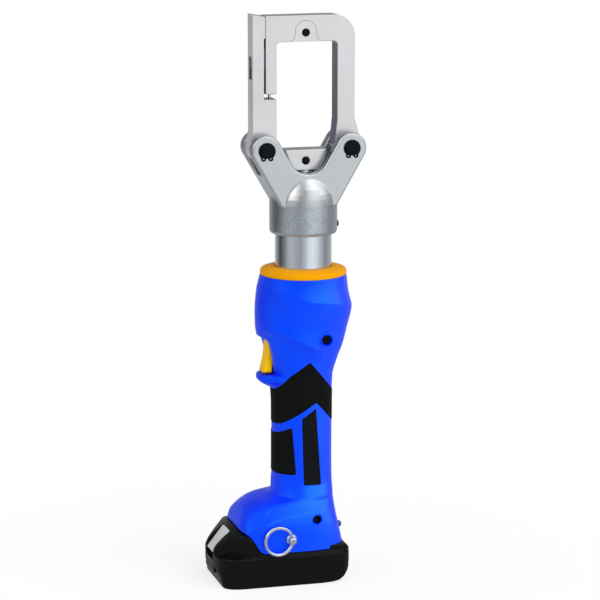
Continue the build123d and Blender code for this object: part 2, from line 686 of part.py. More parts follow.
def latch_outline():
    """Latch post: full width below its shelf, slim beside the yoke's leg."""
    lower = outline(
        (LATCH_OUT_X, PIN_Z + 4), (JAW_LEFT, PIN_Z + 8), (JAW_LEFT, SHELF_Z), (LATCH_OUT_X, SHELF_Z),
    )
    slit, seam, seam_z = LEG_X - 1.6, LEG_X - SLIDE, JAW_Z + 3
    upper = outline(
        (LATCH_OUT_X, SHELF_Z - 1), (slit, SHELF_Z - 1), (slit, seam_z), (seam, seam_z + 1),
        (seam, TOP_Z - 0.6), (LATCH_OUT_X, TOP_Z + 1.2),
    )
    return lower + upper + belt(LATCH_X, PIN_Z, EYE_R, LATCH_X + 1.3, PIN_Z + 14, 9.9)


def latch():
    """Swinging latch with a window that holds the yoke's tongue."""
    body = plate(latch_outline(), -JAW_HALF, JAW_HALF)
    drop = (TONGUE_REACH + 4) * tan(radians(TONGUE_SLOPE))
    window = outline(
        (LEG_X + 2, TONGUE_Z + 1.45 + 2 * SLIDE), (LEG_X - TONGUE_REACH - 4, TONGUE_Z - drop + 2 * SLIDE),
        (LATCH_OUT_X - 2, TONGUE_Z - drop + 2 * SLIDE), (LATCH_OUT_X - 2, TONGUE_Z - TONGUE_LENGTH - 10),
        (LEG_X + 2, TONGUE_Z - TONGUE_LENGTH - 10),
    )
    body = body - plate(window, -TONGUE_HALF - SLIDE, TONGUE_HALF + SLIDE)
    body = body - rod_y(PIN_R + RUN, -100, 100, LATCH_X, PIN_Z)
    return body - rod(STOP_R, SHELF_Z - 6, SHELF_Z + 1, STOP_X)


STOP_R, STOP_X = 1.2, JAW_LEFT - 4.2


def latch_stop_pin():
    """Pin in the latch's shelf that the yoke's leg stops on."""
    return rod(STOP_R, SHELF_Z - 6, LEG_LOW_Z - SLIDE, STOP_X)


def ram_outline():
    """Lower die seat, flat on top with a round belly."""
    edges = [
        Line((-RAM_HALF, RAM_TOP_Z), (RAM_HALF, RAM_TOP_Z)),
        Line((RAM_HALF, RAM_TOP_Z), (RAM_HALF - 1, RAM_TOP_Z - 3)),
        Spline((RAM_HALF - 1, RAM_TOP_Z - 3), (RAM_HALF - 10.5, RAM_LOW_Z), tangents=((-0.45, -1), (-1, 0))),
        Line((RAM_HALF - 10.5, RAM_LOW_Z), (10.5 - RAM_HALF, RAM_LOW_Z)),
        Spline((10.5 - RAM_HALF, RAM_LOW_Z), (1 - RAM_HALF, RAM_TOP_Z - 3), tangents=((-1, 0), (-0.45, 1))),
        Line((1 - RAM_HALF, RAM_TOP_Z - 3), (-RAM_HALF, RAM_TOP_Z)),
    ]
    return make_face(edges)


RAM_FACE = JAW_HALF - 0.2
STUB_R, STUB_LENGTH = 5.0, 4.0


def ram_head():
    """Lower die seat on the piston rod."""
    body = plate(ram_outline(), -RAM_FACE, RAM_FACE) - rod(STUB_R, RAM_LOW_Z - 1, RAM_LOW_Z + STUB_LENGTH)
    return body - button_bore(LOWER_BUTTON_Z, RAM_FACE)


SEAL_Z, SEAL_HEIGHT, SEAL_DEPTH = PISTON_Z + 6, 5.0, 3.0


def piston_rod():
    """Piston and rod in one piece."""
    top = PISTON_Z + PISTON_LENGTH
    body = rod(BORE_R - RUN, PISTON_Z, top) + rod(ROD_R, top, RAM_LOW_Z)
    body = body + rod(STUB_R, RAM_LOW_Z - 1, RAM_LOW_Z + STUB_LENGTH)
    return body - tube(BORE_R + 1, BORE_R - SEAL_DEPTH, SEAL_Z, SEAL_Z + SEAL_HEIGHT)


def piston_seal():
    """Ring in the piston's groove."""
    return tube(BORE_R - RUN, BORE_R - SEAL_DEPTH, SEAL_Z, SEAL_Z + SEAL_HEIGHT)


def rod_bush():
    """Bronze guide of the rod."""
    return tube(ROD_R + GUIDE_WALL, ROD_R + RUN, BORE_Z1, SLOT_Z - WIPER)


def rod_wiper():
    """Ring that keeps dirt out of the cylinder."""
    return tube(ROD_R + GUIDE_WALL, ROD_R + RUN, SLOT_Z - WIPER, SLOT_Z)


def return_spring():
    """Spring that pushes the piston back."""
    return coil((BORE_R + ROD_R) / 2, 1.2, PISTON_Z + PISTON_LENGTH, BORE_Z1, 8)


def swivel_bush():
    """Bronze bush that the cylinder turns in."""
    return tube(BUSH_R, NECK_R + RUN, FLANGE_Z1 + SLIDE, BUSH_Z1)


# Drive

def involute(angle):
    return tan(angle) - angle


def gear_outline(teeth, addendum, dedendum, thinning):
    """Involute gear outline, each flank drawn by four points."""
    pitch_r, pressure = MODULE * teeth / 2, radians(20)
    base_r = pitch_r * cos(pressure)
    root_r, tip_r = pitch_r - dedendum, pitch_r + addendum
    start_r = max(base_r, root_r)
    radii = [root_r] + [start_r + (tip_r - start_r) * share for share in (0.05, 0.5, 1)]
    half = pi / (2 * teeth) - thinning / pitch_r + involute(pressure)
    flank = [(r, half - involute(acos(min(1, base_r / max(r, base_r))))) for r in radii]
    points = []
    for tooth in range(teeth):
        centre = 2 * pi * tooth / teeth
        points += [(r * cos(centre - a), r * sin(centre - a)) for r, a in flank]
        points += [(r * cos(centre + a), r * sin(centre + a)) for r, a in reversed(flank)]
    return outline(*points)


RING_TEETH = SUN_TEETH + 2 * PLANET_TEETH
ADDENDUM, DEDENDUM, BACKLASH = 0.8 * MODULE, 1.2 * MODULE, 0.08
ORBIT = MODULE * (SUN_TEETH + PLANET_TEETH) / 2
GEAR_FACE = 8.0
MESH_Z = GEAR_Z0 + 3.0
CARRIER_Z = MESH_Z + GEAR_FACE + SLIDE
CARRIER_THICK = 3.0
SHAFT_R = 2.5
PLANET_PIN_R = 1.6
ECC_Z0, ECC_Z1 = PUMP_Z0 + 3, PUMP_Z0 + 9
ECC_R, ROLLER_R = 6.0, 9.0


def ring_gear():
    """Gear case with internal teeth, screwed between motor and pump."""
    body = rod(PUMP_R, GEAR_Z0, PUMP_Z0)
    teeth = Rot(0, 0, 180 / RING_TEETH) * gear_outline(RING_TEETH, DEDENDUM, ADDENDUM, -BACKLASH)
    body = body - upright(teeth, GEAR_Z0 + 2, CARRIER_Z)
    body = body - rod(ORBIT + 4.4, CARRIER_Z - SLIDE, PUMP_Z0 + 1)
    return body - rod(MODULE * SUN_TEETH / 2 + 2, GEAR_Z0 - 1, GEAR_Z0 + 3)


def rotor():
    """Motor shaft with its core and its pinion."""
    core = rod(11.0, MOTOR_Z0 + 12, GEAR_Z0 - 12) + rod(6.0, MOTOR_Z0 + 5, MOTOR_Z0 + 12)
    shaft = rod(SHAFT_R, MOTOR_Z0 + 1, MESH_Z)
    pinion = upright(gear_outline(SUN_TEETH, ADDENDUM, DEDENDUM, BACKLASH), MESH_Z, MESH_Z + GEAR_FACE)
    return core + shaft + pinion


def motor_case():
    """Can with magnets and a bearing at each end."""
    body = rod(MOTOR_R, MOTOR_Z0, GEAR_Z0) - rod(11.6, MOTOR_Z0 + 3, GEAR_Z0 - 3)
    return body - rod(SHAFT_R + RUN, MOTOR_Z0 + 0.8, GEAR_Z0 + 1)


def planet_places():
    return [(ORBIT * cos(2 * pi * k / PLANETS), ORBIT * sin(2 * pi * k / PLANETS)) for k in range(PLANETS)]


def planet_gear(index):
    """Planet, meshing with the pinion and the ring."""
    teeth = Rot(0, 0, 180 / PLANET_TEETH) * gear_outline(PLANET_TEETH, ADDENDUM, DEDENDUM, BACKLASH)
    gear = Pos(ORBIT, 0, 0) * upright(teeth, MESH_Z, MESH_Z + GEAR_FACE)
    gear = gear - rod(PLANET_PIN_R + RUN, 0, TOP_Z, ORBIT)
    return Rot(0, 0, 360 * index / PLANETS) * gear


def planet_carrier():
    """Carrier with planet pins, eccentric and journal."""
    body = rod(ORBIT + 4.0, CARRIER_Z, CARRIER_Z + CARRIER_THICK)
    for x, y in planet_places():
        body = body + rod(PLANET_PIN_R, MESH_Z + 0.5, CARRIER_Z + 1, x, y)
    body = body + rod(ECC_R + 1.5, CARRIER_Z, ECC_Z0, ECCENTRIC) + rod(ECC_R, ECC_Z0 - 1, ECC_Z1, ECCENTRIC)
    return body + rod(3.0, ECC_Z1 - 1, ECC_Z1 + 6)


def eccentric_roller():
    """Roller bearing on the eccentric."""
    ring = rod(ROLLER_R, ECC_Z0, ECC_Z1, ECCENTRIC)
    return ring - rod(ECC_R, ECC_Z0 - 1, ECC_Z1 + 1, ECCENTRIC)


PLUNGER_R = 3.5
PLUNGER_Z = (ECC_Z0 + ECC_Z1) / 2


def pump_body():
    """Pump block with the plunger's bore, oil way and spigot."""
    body = rod(PUMP_R, PUMP_Z0, PUMP_Z1) + rod(CROWN_R, CROWN_Z, PUMP_Z1)
    body = body + rod(SPIGOT_R, PUMP_Z1 - 1, PUMP_Z1 + 7.5)
    body = body - tube(SPIGOT_R + 1, SPIGOT_R - 1.6, PUMP_Z1 + 3, PUMP_Z1 + 5.2)
    body = body - rod(ROLLER_R + ECCENTRIC + 2, PUMP_Z0 - 1, ECC_Z1 + 1) - rod(3.0 + RUN, PUMP_Z0, ECC_Z1 + 7)
    body = body - rod_x(PLUNGER_R + RUN, 0, PUMP_R - 2.0, 0, PLUNGER_Z)
    body = body - rod(2.0, ECC_Z1 + 12, PUMP_Z1 + 20)
    body = body - rod_y(VALVE_R + RUN, CROWN_R - 12, CROWN_R + 1, VALVE_X, VALVE_Z)
    for side in SIDES.values():
        y0, y1 = sorted((side * (PUMP_R - 10), side * 100))
        body = body - rod_y(SCREW_R + RUN, y0, y1, *SCREW_UP)
    return body


VALVE_R, VALVE_X, VALVE_Z = 4.0, -8.0, PUMP_Z1 - 24


def swivel_seal():
    """Seal ring on the pump's spigot."""
    return tube(SPIGOT_R, SPIGOT_R - 1.6, PUMP_Z1 + 3, PUMP_Z1 + 5.2)


def pump_plunger():
    """Plunger, drawn at the top of its stroke against the roller."""
    return rod_x(PLUNGER_R, ROLLER_R + ECCENTRIC + SLIDE, PUMP_R - 3.0, 0, PLUNGER_Z)


def relief_valve():
    """Cartridge valve in the pump's side."""
    reach = PUMP_R - 2.0
    body = rod_y(VALVE_R, CROWN_R - 11, reach, VALVE_X, VALVE_Z)
    return body + plate(Pos(VALVE_X, VALVE_Z) * RegularPolygon(3.2, 6), reach - 0.5, reach + 2.5)


def oil_bladder():
    """Rubber oil store round the pump's crown."""
    return tube(CROWN_R + 4.4, CROWN_R, CROWN_Z + 6, PUMP_Z1 - 2)


# Electrics

BOARD_Z = GRIP_Z0 + 5


def control_board():
    """Circuit board on its rib, with a few parts on it."""
    top = BOARD_Z + 1.6
    board = block(-18, 14, -13, 13, BOARD_Z, top)
    for x, y, width, height in ((-10, -5, 8, 4), (3, 4, 6, 5), (6, -6, 9, 2.4)):
        board = board + block(x - width / 2, x + width / 2, y - 3, y + 3, top, top + height)
    return board


BLADE_Y, BLADE_HALF = 9.0, 0.5
BLADE_X0, BLADE_X1 = -2.0, 18.0


def blades():
    """Flat contacts that reach down into the pack."""
    low = DECK_Z + RAIL_RISE / 2 - 1
    rows = [(y - BLADE_HALF, y + BLADE_HALF) for y in (-BLADE_Y, BLADE_Y)]
    return [block(BLADE_X0, BLADE_X1, near, far, low, FLOOR_Z + 1) for near, far in rows]


def terminal_block():
    """Plastic block that holds the blades in the foot's floor."""
    low = RAIL_Z + SLIDE
    body = block(BLOCK_X0, BLOCK_X1, -BLOCK_HALF, BLOCK_HALF, low, FLOOR_Z + 2)
    body = body + block(BLOCK_X0 - 3, BLOCK_X1 + 3, -BLOCK_HALF - 2, BLOCK_HALF + 2, FLOOR_Z, FLOOR_Z + 2)
    for blade in blades():
        body = body - blade
    return body


# Pack

SLOPE_LOW = (-PACK_FRONT + 1, PACK_SIDE + 2.0)
SLOPE_TOP = (-NOSE_FRONT - 2.0, PACK_PEAK)
RUN_X, RUN_Z = SLOPE_TOP[0] - SLOPE_LOW[0], SLOPE_TOP[1] - SLOPE_LOW[1]
SLOPE_LENGTH = (RUN_X ** 2 + RUN_Z ** 2) ** 0.5
SLOPE_ANGLE = degrees(asin(RUN_Z / SLOPE_LENGTH))
SPLIT_Z = 14.0


def pack_plan(inset=0.0):
    """Pack from above: bowed front, straight sides, rounded back corners."""
    half, front, back, corner = PACK_HALF - inset, PACK_FRONT - inset, PACK_BACK - inset, 12.0 - inset
    bow = PACK_FRONT - 24
    pull = 0.75
    edges = [Line((back, corner - half), (back, half - corner))]
    for side in (1, -1):
        edges.append(RadiusArc((back, side * (half - corner)), (back - corner, side * half), -side * corner))
        edges.append(Line((back - corner, side * half), (-bow, side * half)))
        bend = (-bow - pull * (front - bow), side * half)
        edges.append(Bezier((-bow, side * half), bend, (-front, side * pull * half), (-front, 0)))
    return make_face(edges)


def pack_side():
    """Side outline of the pack without its deck."""
    x, nose = -PACK_FRONT, -NOSE_FRONT
    low = PACK_SIDE + 0.8
    gap = 2 * SLIDE
    return outline(
        (x + 9.5, 0), (PACK_BACK - 7, 0), (PACK_BACK - 2, 2.5), (PACK_BACK, 9), (PACK_BACK, PACK_SIDE),
        (nose + 17, PACK_SIDE), (nose + 14, low + 1.8), (nose + 11.2, low + 6.6), (nose + 8.6, low + 12.4),
        (nose + 5, low + 16.9), (nose - gap, low + 20.2 - gap),
        (nose - gap, PACK_PEAK - 1), (nose - gap - 0.5, PACK_PEAK),
        SLOPE_TOP, SLOPE_LOW, (x, PACK_SIDE - 4), (x + 1.6, 15), (x + 4.2, 6), (x + 6.5, 1.6),
    )


def pack_front():
    """Pack from the front: upright, then narrowing to its peak."""
    right = [(PACK_HALF - 1.5, 0), (PACK_HALF, 3), (PACK_HALF, PACK_SIDE), (PACK_HALF - 3, PACK_SIDE + 8)]
    right += [(NOSE_HALF + 3, PACK_PEAK), (NOSE_HALF + 3, PACK_PEAK + 5)]
    left = [(-y, z) for y, z in reversed(right)]
    return outline(*right, *left)


def pack_form():
    """Outer form of the pack, without its deck and rails."""
    across = 2 * PACK_HALF
    body = plate(pack_side(), -across, across) & upright(pack_plan(), 0, PACK_PEAK + 5)
    return body & along(pack_front(), -2 * PACK_FRONT, 2 * PACK_FRONT)


def pack_room():
    """Hollow for the cells, with room above them under the deck and in the nose."""
    span = CELLS * 2 * CELL_R + (CELLS + 1) * SEAT
    half = CELL_LENGTH / 2 + SEAT
    top = PACK_WALL + 2 * CELL_R + 2 * SEAT
    room = block(CELL_MIDDLE - span / 2, CELL_MIDDLE + span / 2, -half, half, PACK_WALL, top)
    room = room + block(-NOSE_FRONT + 19, RAIL_BACK - 3, -RAIL_HEAD, RAIL_HEAD, top - 1, DECK_Z - PACK_WALL)
    return room + block(-NOSE_FRONT - 0.5, -NOSE_FRONT + 6.5, -NOSE_HALF, NOSE_HALF, top - 1, DECK_Z + 5)


CELL_MIDDLE = -22.0


def slope(local):
    """Places a shape drawn with X up the release slope and Z out of it."""
    middle = ((SLOPE_LOW[0] + SLOPE_TOP[0]) / 2, (SLOPE_LOW[1] + SLOPE_TOP[1]) / 2)
    return Pos(middle[0], 0, middle[1]) * Rot(0, -SLOPE_ANGLE, 0) * local


RELEASE_REACH = SLOPE_LENGTH / 2 - 3.0
RELEASE_WELL = RELEASE_THICK + RELEASE_TRAVEL + SLIDE


def battery_base():
    """Lower half of the pack's case."""
    body = pack_form() & block(-200, 200, -200, 200, 0, SPLIT_Z)
    body = body - pack_room()
    for x, y in PACK_SCREWS:
        body = body - rod(3.0, -1, 4, x, y) - rod(1.6, -1, SPLIT_Z + 1, x, y)
    return body


PACK_SCREWS = [(x, y) for x in (-72.3, 28.0) for y in (-19.0, 19.0)]


def battery_screws():
    """Four screws from below."""
    return Compound([rod(2.8, 2.5, 4, x, y) + rod(1.5, 3.5, SPLIT_Z + 6, x, y) for x, y in PACK_SCREWS])


def battery_cover():
    """Upper half of the case with deck, rails and release slope."""
    body = pack_form() & block(-200, 200, -200, 200, SPLIT_Z, 200)
    deck_front = -NOSE_FRONT + 16
    half = FOOT_HALF - WALL - SLIDE
    body = body + block(deck_front, FOOT_BACK - WALL - SLIDE, -half, half, PACK_SIDE - 1, DECK_Z)
    body = body + block(deck_front, RAIL_BACK, -RAIL_NECK, RAIL_NECK, DECK_Z - 1, RAIL_Z)
    body = body + block(deck_front, RAIL_BACK, -RAIL_HEAD, RAIL_HEAD, DECK_Z + RAIL_RISE / 2, RAIL_Z)
    body = body - pack_room()
    for y in (-BLADE_Y, BLADE_Y):
        body = body - block(BLADE_X0 - 4, RAIL_BACK + 1, y - SLOT_Y, y + SLOT_Y, DECK_Z + 2, RAIL_Z + 1)
    reach, half = RELEASE_REACH + SLIDE, RELEASE_HALF + SLIDE
    body = body - slope(block(-reach, reach, -half, half, -RELEASE_WELL, 5))
    body = body - slope(rod(3.4, -RELEASE_WELL - 3, 0))
    for x, y in PACK_SCREWS:
        body = body - rod(1.5, SPLIT_Z - 1, SPLIT_Z + 6, x, y)
    return body


SLOT_Y = 2.4


def battery_button():
    """Release button set into the pack's front slope, with a finger dip."""
    pad = block(-RELEASE_REACH, RELEASE_REACH, -RELEASE_HALF, RELEASE_HALF, -RELEASE_THICK, 0.5)
    pad = fillet(pad.edges().filter_by(Axis.Z), 1.5)
    ridges = [block(x - 0.5, x + 0.5, -RELEASE_HALF + 3, RELEASE_HALF - 3, 0, 1.0) for x in (-6, -3, 0, 3, 6)]
    for ridge in ridges:
        pad = pad + ridge
    return slope(pad)


def release_spring():
    """Spring behind the release button."""
    return slope(coil(2.4, 0.4, -RELEASE_WELL - 3, -RELEASE_THICK, 4))


def battery_cells():
    """Row of round cells across the pack."""
    pitch = 2 * CELL_R + SEAT
    first = CELL_MIDDLE - (CELLS - 1) * pitch / 2
    z = PACK_WALL + CELL_R + SEAT
    half = CELL_LENGTH / 2
    return Compound([rod_y(CELL_R, -half, half, first + k * pitch, z) for k in range(CELLS)])


def battery_contacts():
    """Spring leaves that grip the blades."""
    leaves = []
    for y in (-BLADE_Y, BLADE_Y):
        for side in (-1, 1):
            y0, y1 = sorted((y + side * (BLADE_HALF + 0.1), y + side * SLOT_Y))
            leaves.append(block(BLADE_X0 - 3, BLADE_X0 + 6, y0, y1, DECK_Z + 2, RAIL_Z - 1))
    return Compound(leaves)


SKINS = skins()


def nodes():
    """Every node of the tool."""
    parts = {**housing(), **skin_nodes()}
    parts |= {
        "collar_ring": collar_ring(),
        "housing_screws": housing_screws(),
        "trigger": trigger(),
        "trigger_switch": trigger_switch(),
        "trigger_spring": trigger_spring(),
        "status_light": status_light(),
        "ring_stud": ring_stud(),
        "hang_ring": hang_ring(),
        "fork": fork(),
        "fork_set_screw": fork_set_screw(),
        "cylinder": cylinder(),
        "yoke_pin": hinge_pin(YOKE_X),
        "latch_pin": hinge_pin(LATCH_X),
        "pin_circlips": circlips(),
        "yoke": yoke(),
        "upper_die_seat": upper_die_seat(),
        "upper_die_button": die_button(UPPER_BUTTON_Z, JAW_HALF),
        "upper_button_spring": button_spring(UPPER_BUTTON_Z, JAW_HALF),
        "latch": latch(),
        "latch_stop_pin": latch_stop_pin(),
        "ram_head": ram_head(),
        "lower_die_button": die_button(LOWER_BUTTON_Z, RAM_FACE),
        "lower_button_spring": button_spring(LOWER_BUTTON_Z, RAM_FACE),
        "piston_rod": piston_rod(),
        "piston_seal": piston_seal(),
        "rod_bush": rod_bush(),
        "rod_wiper": rod_wiper(),
        "return_spring": return_spring(),
        "swivel_bush": swivel_bush(),
        "swivel_seal": swivel_seal(),
        "pump_body": pump_body(),
        "pump_plunger": pump_plunger(),
        "relief_valve": relief_valve(),
        "oil_bladder": oil_bladder(),
        "ring_gear": ring_gear(),
        "rotor": rotor(),
        "motor_case": motor_case(),
        "planet_carrier": planet_carrier(),
        "eccentric_roller": eccentric_roller(),
        "control_board": control_board(),
        "terminal_block": terminal_block(),
        "terminal_blades": Compound(blades()),
        "battery_base": battery_base(),
        "battery_cover": battery_cover(),
        "battery_cells": battery_cells(),
        "battery_contacts": battery_contacts(),
        "battery_screws": battery_screws(),
        "battery_button": battery_button(),
        "release_spring": release_spring(),
    }
    parts |= {f"planet_gear_{k + 1}": planet_gear(k) for k in range(PLANETS)}
    return parts


os.makedirs("parts", exist_ok=True)
for node, solid in nodes().items():
    export_step(solid, f"parts/{node}.step")
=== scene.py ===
import json
import math

import bmesh
import bpy
import numpy as np
import openvdb
from mathutils import Matrix, Vector
from mathutils.geometry import delaunay_2d_cdt


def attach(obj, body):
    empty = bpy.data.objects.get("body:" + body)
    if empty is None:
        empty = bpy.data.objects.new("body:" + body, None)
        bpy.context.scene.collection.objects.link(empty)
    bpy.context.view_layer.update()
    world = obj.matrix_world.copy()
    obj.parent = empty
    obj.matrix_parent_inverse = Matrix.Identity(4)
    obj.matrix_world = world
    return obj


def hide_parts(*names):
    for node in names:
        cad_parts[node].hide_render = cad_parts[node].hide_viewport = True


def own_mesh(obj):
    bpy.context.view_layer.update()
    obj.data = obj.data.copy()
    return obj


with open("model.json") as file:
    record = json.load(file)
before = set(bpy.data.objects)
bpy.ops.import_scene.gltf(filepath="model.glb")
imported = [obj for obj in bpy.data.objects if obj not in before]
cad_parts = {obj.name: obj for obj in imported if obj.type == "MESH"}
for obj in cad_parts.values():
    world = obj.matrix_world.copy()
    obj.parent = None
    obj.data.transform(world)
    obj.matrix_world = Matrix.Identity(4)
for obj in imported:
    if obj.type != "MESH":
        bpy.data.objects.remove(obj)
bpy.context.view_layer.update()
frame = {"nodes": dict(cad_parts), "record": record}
nodes = frame["nodes"]
scene = bpy.context.scene

# Sizes below are in millimetres, in the part's own frame:
# Z up the tool's axis, -X the trigger side, -Y the tool's left side.
MM = 0.001


def rgb(red, green, blue):
    """Linear colour of an 8-bit screen colour."""
    def linear(v):
        v /= 255
        return v / 12.92 if v <= 0.04045 else ((v + 0.055) / 1.055) ** 2.4
    return linear(red), linear(green), linear(blue), 1.0


# Studio

CAMERA_AZ, CAMERA_EL = math.radians(-15.5), math.radians(11.3)
CAMERA_REACH = 2300.0
CAMERA_AIM = (-2.6, 0.7, 240.3)
CAMERA_LENS, CAMERA_SENSOR = 162.4, 36.0
# Lamps: azimuth and elevation in degrees, strength, and spread in degrees
KEY = (34, 36, 2.1, 60)
FILL = (-70, 25, 0.55, 80)
SOFTBOX = (46, 12, 3.0, 84)


def aim_axes(azimuth, elevation):
    """Right, up and backward axes of a camera that looks at the tool."""
    level = math.cos(elevation)
    back = Vector((math.sin(azimuth) * level, -math.cos(azimuth) * level, math.sin(elevation)))
    right = Vector((math.cos(azimuth), math.sin(azimuth), 0))
    return right, back.cross(right), back


def make_camera():
    data = bpy.data.cameras.new("camera")
    data.sensor_width, data.lens = CAMERA_SENSOR, CAMERA_LENS
    data.clip_start, data.clip_end = 0.1, 100
    right, up, back = aim_axes(CAMERA_AZ, CAMERA_EL)
    camera = bpy.data.objects.new("camera", data)
    turn = Matrix((right, up, back)).transposed()
    camera.matrix_world = Matrix.Translation((Vector(CAMERA_AIM) + back * CAMERA_REACH) * MM) @ turn.to_4x4()
    scene.collection.objects.link(camera)
    scene.camera = camera


def make_sun(name, azimuth, elevation, strength, spread):
    """Soft lamp far away, seen from the tool at that azimuth and elevation."""
    data = bpy.data.lights.new(name, "SUN")
    data.energy, data.angle = strength, math.radians(spread)
    lamp = bpy.data.objects.new(name, data)
    back = aim_axes(math.radians(azimuth), math.radians(elevation))[2]
    lamp.rotation_euler = back.to_track_quat("Z", "Y").to_euler()
    lamp.visible_glossy = False
    scene.collection.objects.link(lamp)
    return lamp


def make_softbox(pieces):
    """Wide lamp on the right that shows only as gloss on the given pieces."""
    lamp = make_sun("softbox", *SOFTBOX)
    lamp.visible_diffuse, lamp.visible_glossy = False, True
    lit = bpy.data.collections.new("softbox_lit")
    for piece in pieces:
        lit.objects.link(piece)
    lamp.light_linking.receiver_collection = lit


def feed(tree, socket, value):
    """Links an input to a node or to one of a node's outputs, or sets it."""
    if isinstance(value, bpy.types.Node):
        value = value.outputs[0]
    if isinstance(value, bpy.types.NodeSocket):
        tree.links.new(value, socket)
    else:
        socket.default_value = value


def put(tree, kind, *inputs, **values):
    """New node, with its settings by name and its inputs by order or by name, underscores for spaces."""
    node = tree.nodes.new(kind)
    settings = {key: value for key, value in values.items() if key in node.bl_rna.properties.keys()}
    for key, value in settings.items():
        setattr(node, key, value)
    named = [(key.replace("_", " "), value) for key, value in values.items() if key not in settings]
    for key, value in [*enumerate(inputs), *named]:
        feed(tree, node.inputs[key], value)
    return node


def calc(tree, operation, *inputs):
    return put(tree, "ShaderNodeMath", *inputs, operation=operation)


# What glossy surfaces mirror at the horizon and above it: azimuth in degrees and level
MIRROR_BANDS = (
    (-180, 0.72), (-166, 0.50), (-153, 0.34), (-121, 0.07), (-97, 0.22), (-77, 0.48), (-59, 0.51),
    (-42, 0.42), (-25, 0.37), (-9, 0.54), (7, 0.86), (24, 0.96), (41, 0.80), (61, 0.52), (83, 0.30),
    (113, 0.38), (136, 0.56), (160, 0.36), (172, 0.60), (180, 0.72),
)
SHELF_BANDS = (
    (-180, 0.12), (-145, 0.16), (-100, 0.60), (-76, 1.55), (-55, 1.60), (-40, 0.90), (-27, 0.42),
    (-10, 0.46), (10, 1.10), (35, 1.40), (60, 1.10), (90, 0.60), (130, 0.25), (180, 0.12),
)
BAND_BLUE = 1.01
# Heights of the mirrored direction over which the upper bands and the ground take over
SHELF_SPAN, GROUND_SPAN = (0.16, 0.34), (-0.35, -0.75)
SKY_LIGHT, GROUND_LIGHT = 0.54, 0.8


def band_ramp(tree, turn, bands):
    """Grey levels round the horizon, softly blended."""
    node = put(tree, "ShaderNodeValToRGB", turn)
    stops = node.color_ramp.elements
    node.color_ramp.interpolation = "EASE"
    for k, (angle, level) in enumerate(bands):
        share = (angle + 180) / 360
        if 0 < k < len(bands) - 1:
            stop = stops.new(share)
        else:
            stop = stops[-1 if k else 0]
        stop.position, stop.color = share, (level, level, level * BAND_BLUE, 1)
    return node


def make_world():
    """White where it is seen, even where it lights, and softly banded where metal mirrors it."""
    world = bpy.data.worlds.new("studio")
    scene.world = world
    world.use_nodes = True
    tree = world.node_tree
    tree.nodes.clear()
    path, place = put(tree, "ShaderNodeLightPath"), put(tree, "ShaderNodeTexCoord")
    axes = put(tree, "ShaderNodeSeparateXYZ", place.outputs["Generated"])
    azimuth = calc(tree, "ARCTAN2", axes.outputs["X"], calc(tree, "MULTIPLY", axes.outputs["Y"], -1.0))
    turn = put(tree, "ShaderNodeMapRange", azimuth, -math.pi, math.pi)
    mirror, shelf = (put(tree, "ShaderNodeBackground", band_ramp(tree, turn, bands))
                     for bands in (MIRROR_BANDS, SHELF_BANDS))
    ground, light, white = (put(tree, "ShaderNodeBackground", (1, 1, 1, 1), strength)
                            for strength in (GROUND_LIGHT, SKY_LIGHT, 1.0))
    above, below = (put(tree, "ShaderNodeMapRange", axes.outputs["Z"], *span)
                    for span in (SHELF_SPAN, GROUND_SPAN))
    glossy = calc(tree, "MAXIMUM", path.outputs["Is Glossy Ray"], path.outputs["Is Transmission Ray"])
    look = mirror
    for share, low, high in ((above, None, shelf), (below, None, ground), (glossy, light, None),
                             (path.outputs["Is Camera Ray"], None, white)):
        look = put(tree, "ShaderNodeMixShader", share, low or look, high or look)
    put(tree, "ShaderNodeOutputWorld", look)


# Floor: its radius and the span over which it runs out to white, in metres
FLOOR_RADIUS, FLOOR_FADE = 0.85, (0.12, 0.42)
FLOOR_GLOW, FLOOR_PAINT, FLOOR_MIRRORED = (0.78, 1.0), (0.95, 0.95, 0.95, 1), 0.40


def make_floor():
    """Pale floor that takes the shadow near the tool and runs out to white."""
    mesh = bpy.data.meshes.new("floor")
    shape = bmesh.new()
    bmesh.ops.create_circle(shape, cap_ends=True, segments=96, radius=FLOOR_RADIUS)
    shape.to_mesh(mesh)
    shape.free()
    floor = bpy.data.objects.new("floor", mesh)
    scene.collection.objects.link(floor)
    material = bpy.data.materials.new("floor")
    material.use_nodes = True
    tree = material.node_tree
    tree.nodes.clear()
    path, place = put(tree, "ShaderNodeLightPath"), put(tree, "ShaderNodeTexCoord")
    reach = put(tree, "ShaderNodeVectorMath", place.outputs["Object"], operation="LENGTH")
    fade = put(tree, "ShaderNodeMapRange", reach.outputs["Value"], *FLOOR_FADE, *FLOOR_GLOW)
    seen = calc(tree, "MULTIPLY", fade, path.outputs["Is Camera Ray"])
    paint = put(tree, "ShaderNodeBsdfDiffuse", FLOOR_PAINT)
    glow, mirrored = (put(tree, "ShaderNodeEmission", (1, 1, 1, 1), level) for level in (1.0, FLOOR_MIRRORED))
    look = put(tree, "ShaderNodeMixShader", seen, paint, glow)
    look = put(tree, "ShaderNodeMixShader", path.outputs["Is Glossy Ray"], look, mirrored)
    put(tree, "ShaderNodeOutputMaterial", look)
    mesh.materials.append(material)


scene.view_settings.view_transform = "Standard"
make_camera()
make_world()
make_sun("key", *KEY)
make_sun("fill", *FILL)
make_floor()


# Shader groups shared by the finishes

FLOAT = "NodeSocketFloat"
SOCKETS = {float: FLOAT, int: "NodeSocketInt", tuple: "NodeSocketVector"}


def add_inputs(tree, sizes):
    """Named inputs with their usual values."""
    for size, value in sizes.items():
        kind = SOCKETS[type(value)]
        tree.interface.new_socket(size, in_out="INPUT", socket_type=kind).default_value = value


def given_to(tree):
    """Sockets of a tree's inputs, by name."""
    return {socket.name: socket for socket in tree.nodes.new("NodeGroupInput").outputs}


